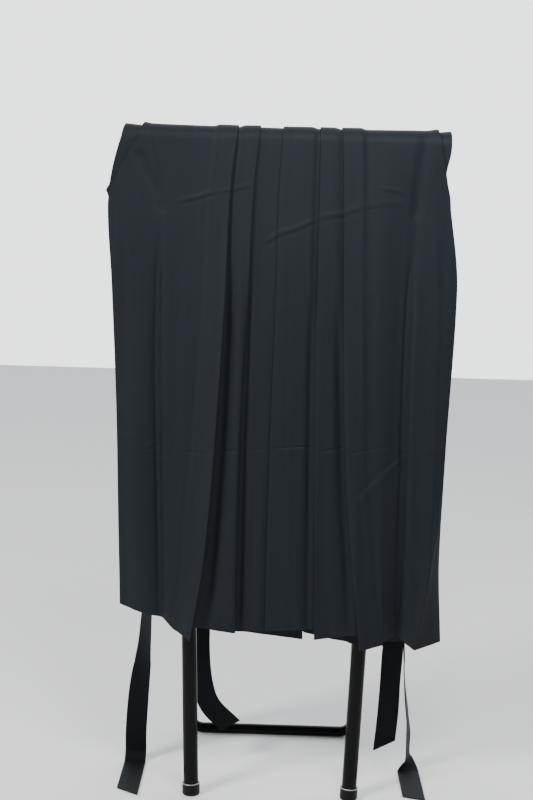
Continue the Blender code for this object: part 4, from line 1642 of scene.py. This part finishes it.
# ------------------------------------------------------------------ the studio
@dataclass(frozen=True)
class Lamp:
    """A soft square studio lamp.

    Attributes:
        name: Its name.
        place: Where it stands.
        aim: What it points at.
        size: Side of its square.
        power: In watts.
    """

    name: str
    place: Triple
    aim: Triple
    size: float
    power: float

    def light(self) -> None:
        """Add the lamp to the scene."""
        data = bpy.data.lights.new(self.name, "AREA")
        data.shape = "SQUARE"
        data.size = self.size
        data.energy = self.power
        lamp = bpy.data.objects.new(self.name, data)
        lamp.location = self.place
        lamp.rotation_euler = (Vector(self.aim) - Vector(self.place)).to_track_quat("-Z", "Y").to_euler()
        bpy.context.scene.collection.objects.link(lamp)


LAMPS = (
    Lamp("key", (-3.2, -2.6, 3.5), (0.0, 0.0, 1.60), 1.2, 216.0),
    Lamp("near", (0.22, -0.90, 1.80), (0.05, 0.0, 1.10), 0.5, 17.5),
    Lamp("fill", (2.2, -2.0, 1.4), (0.0, 0.0, 0.60), 2.0, 3.0),
    Lamp("rim", (2.3, 0.5, 1.2), (0.0, 0.0, 0.50), 0.5, 8.0),
)


@dataclass(frozen=True)
class Studio:
    """The floor, the light and the camera.

    Attributes:
        floor_colour: Of the plain pale floor.
        floor_half: Half its width.
        sky: Colour of the room's even light.
        sky_front: Its strength from before the rack.
        sky_behind: Its strength from the bright wall behind the rack.
        sky_turn: How far back a direction points, of 1, where that is reached.
        lens: Focal length of the camera in millimetres.
        azimuth: How far the camera stands toward +X, in degrees.
        pitch: How far it looks down, in degrees.
        roll: How far it leans, in degrees.
        place: Where it stands, from the foot of the rack's middle.
    """

    floor_colour: Triple = (0.80, 0.80, 0.80)
    floor_half: float = 6.0
    sky: Triple = (0.95, 0.97, 1.0)
    sky_front: float = 0.34
    sky_behind: float = 2.6
    sky_turn: float = 0.7
    lens: float = 58.5
    azimuth: float = 0.5
    pitch: float = 8.0
    roll: float = 1.6
    place: Triple = (-0.0058, -2.2003, 0.98)

    def build(self, saddle: Saddle) -> None:
        """Lay the floor, hang the lamps and set the camera.

        Args:
            saddle: Where the rack stands.
        """
        self.lay_floor()
        for lamp in LAMPS:
            lamp.light()
        world = bpy.data.worlds.new("studio")
        world.use_nodes = True
        background = world.node_tree.nodes["Background"]
        background.inputs["Color"].default_value = (*self.sky, 1)
        nodes, links = world.node_tree.nodes, world.node_tree.links
        where = nodes.new("ShaderNodeTexCoord")
        axes = nodes.new("ShaderNodeSeparateXYZ")
        spread = nodes.new("ShaderNodeMapRange")
        for name, value in (
            ("From Max", self.sky_turn),
            ("To Min", self.sky_front),
            ("To Max", self.sky_behind),
        ):
            spread.inputs[name].default_value = value
        links.new(where.outputs["Generated"], axes.inputs[0])
        links.new(axes.outputs["Y"], spread.inputs["Value"])
        links.new(spread.outputs["Result"], background.inputs["Strength"])
        bpy.context.scene.world = world
        self.set_camera(saddle)

    def lay_floor(self) -> None:
        """A plain pale floor, level with the rack's feet."""
        mesh = bpy.data.meshes.new("floor")
        half = self.floor_half
        corners = [(-half, -half, 0), (half, -half, 0), (half, half, 0), (-half, half, 0)]
        mesh.from_pydata(corners, [], [(0, 1, 2, 3)])
        floor = add_object(mesh)
        mesh.materials.append(CoatFinish("pale_floor", self.floor_colour, 0.75).make())

    def set_camera(self, saddle: Saddle) -> None:
        """Set the scene's camera.

        Args:
            saddle: Where the rack stands.
        """
        data = bpy.data.cameras.new("camera")
        data.lens = self.lens
        camera = bpy.data.objects.new("camera", data)
        bpy.context.scene.collection.objects.link(camera)
        azimuth, pitch, roll = (math.radians(a) for a in (self.azimuth, self.pitch, self.roll))
        turn = Matrix.Rotation(azimuth, 3, "Z") @ Matrix.Rotation(math.pi / 2 - pitch, 3, "X")
        turn = turn @ Matrix.Rotation(roll, 3, "Z")
        place = Vector(self.place) + Vector((saddle.centre.x, saddle.centre.y, 0))
        camera.matrix_world = Matrix.Translation(place) @ turn.to_4x4()
        bpy.context.scene.camera = camera


def main() -> None:
    """Build the scene in order."""
    logging.basicConfig(level=logging.INFO, format="%(name)s: %(message)s")
    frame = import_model()
    bar_low, bar_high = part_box("stand_top_bar")
    saddle = Saddle((bar_low + bar_high) / 2)
    LOG.info("packed frame: %d nodes", len(frame["nodes"]))
    Trousers().build(saddle)
    rack = Rack()
    rack.dress(frame["nodes"])
    rack.add_rims()
    Studio().build(saddle)


if __name__ == "__main__":
    main()
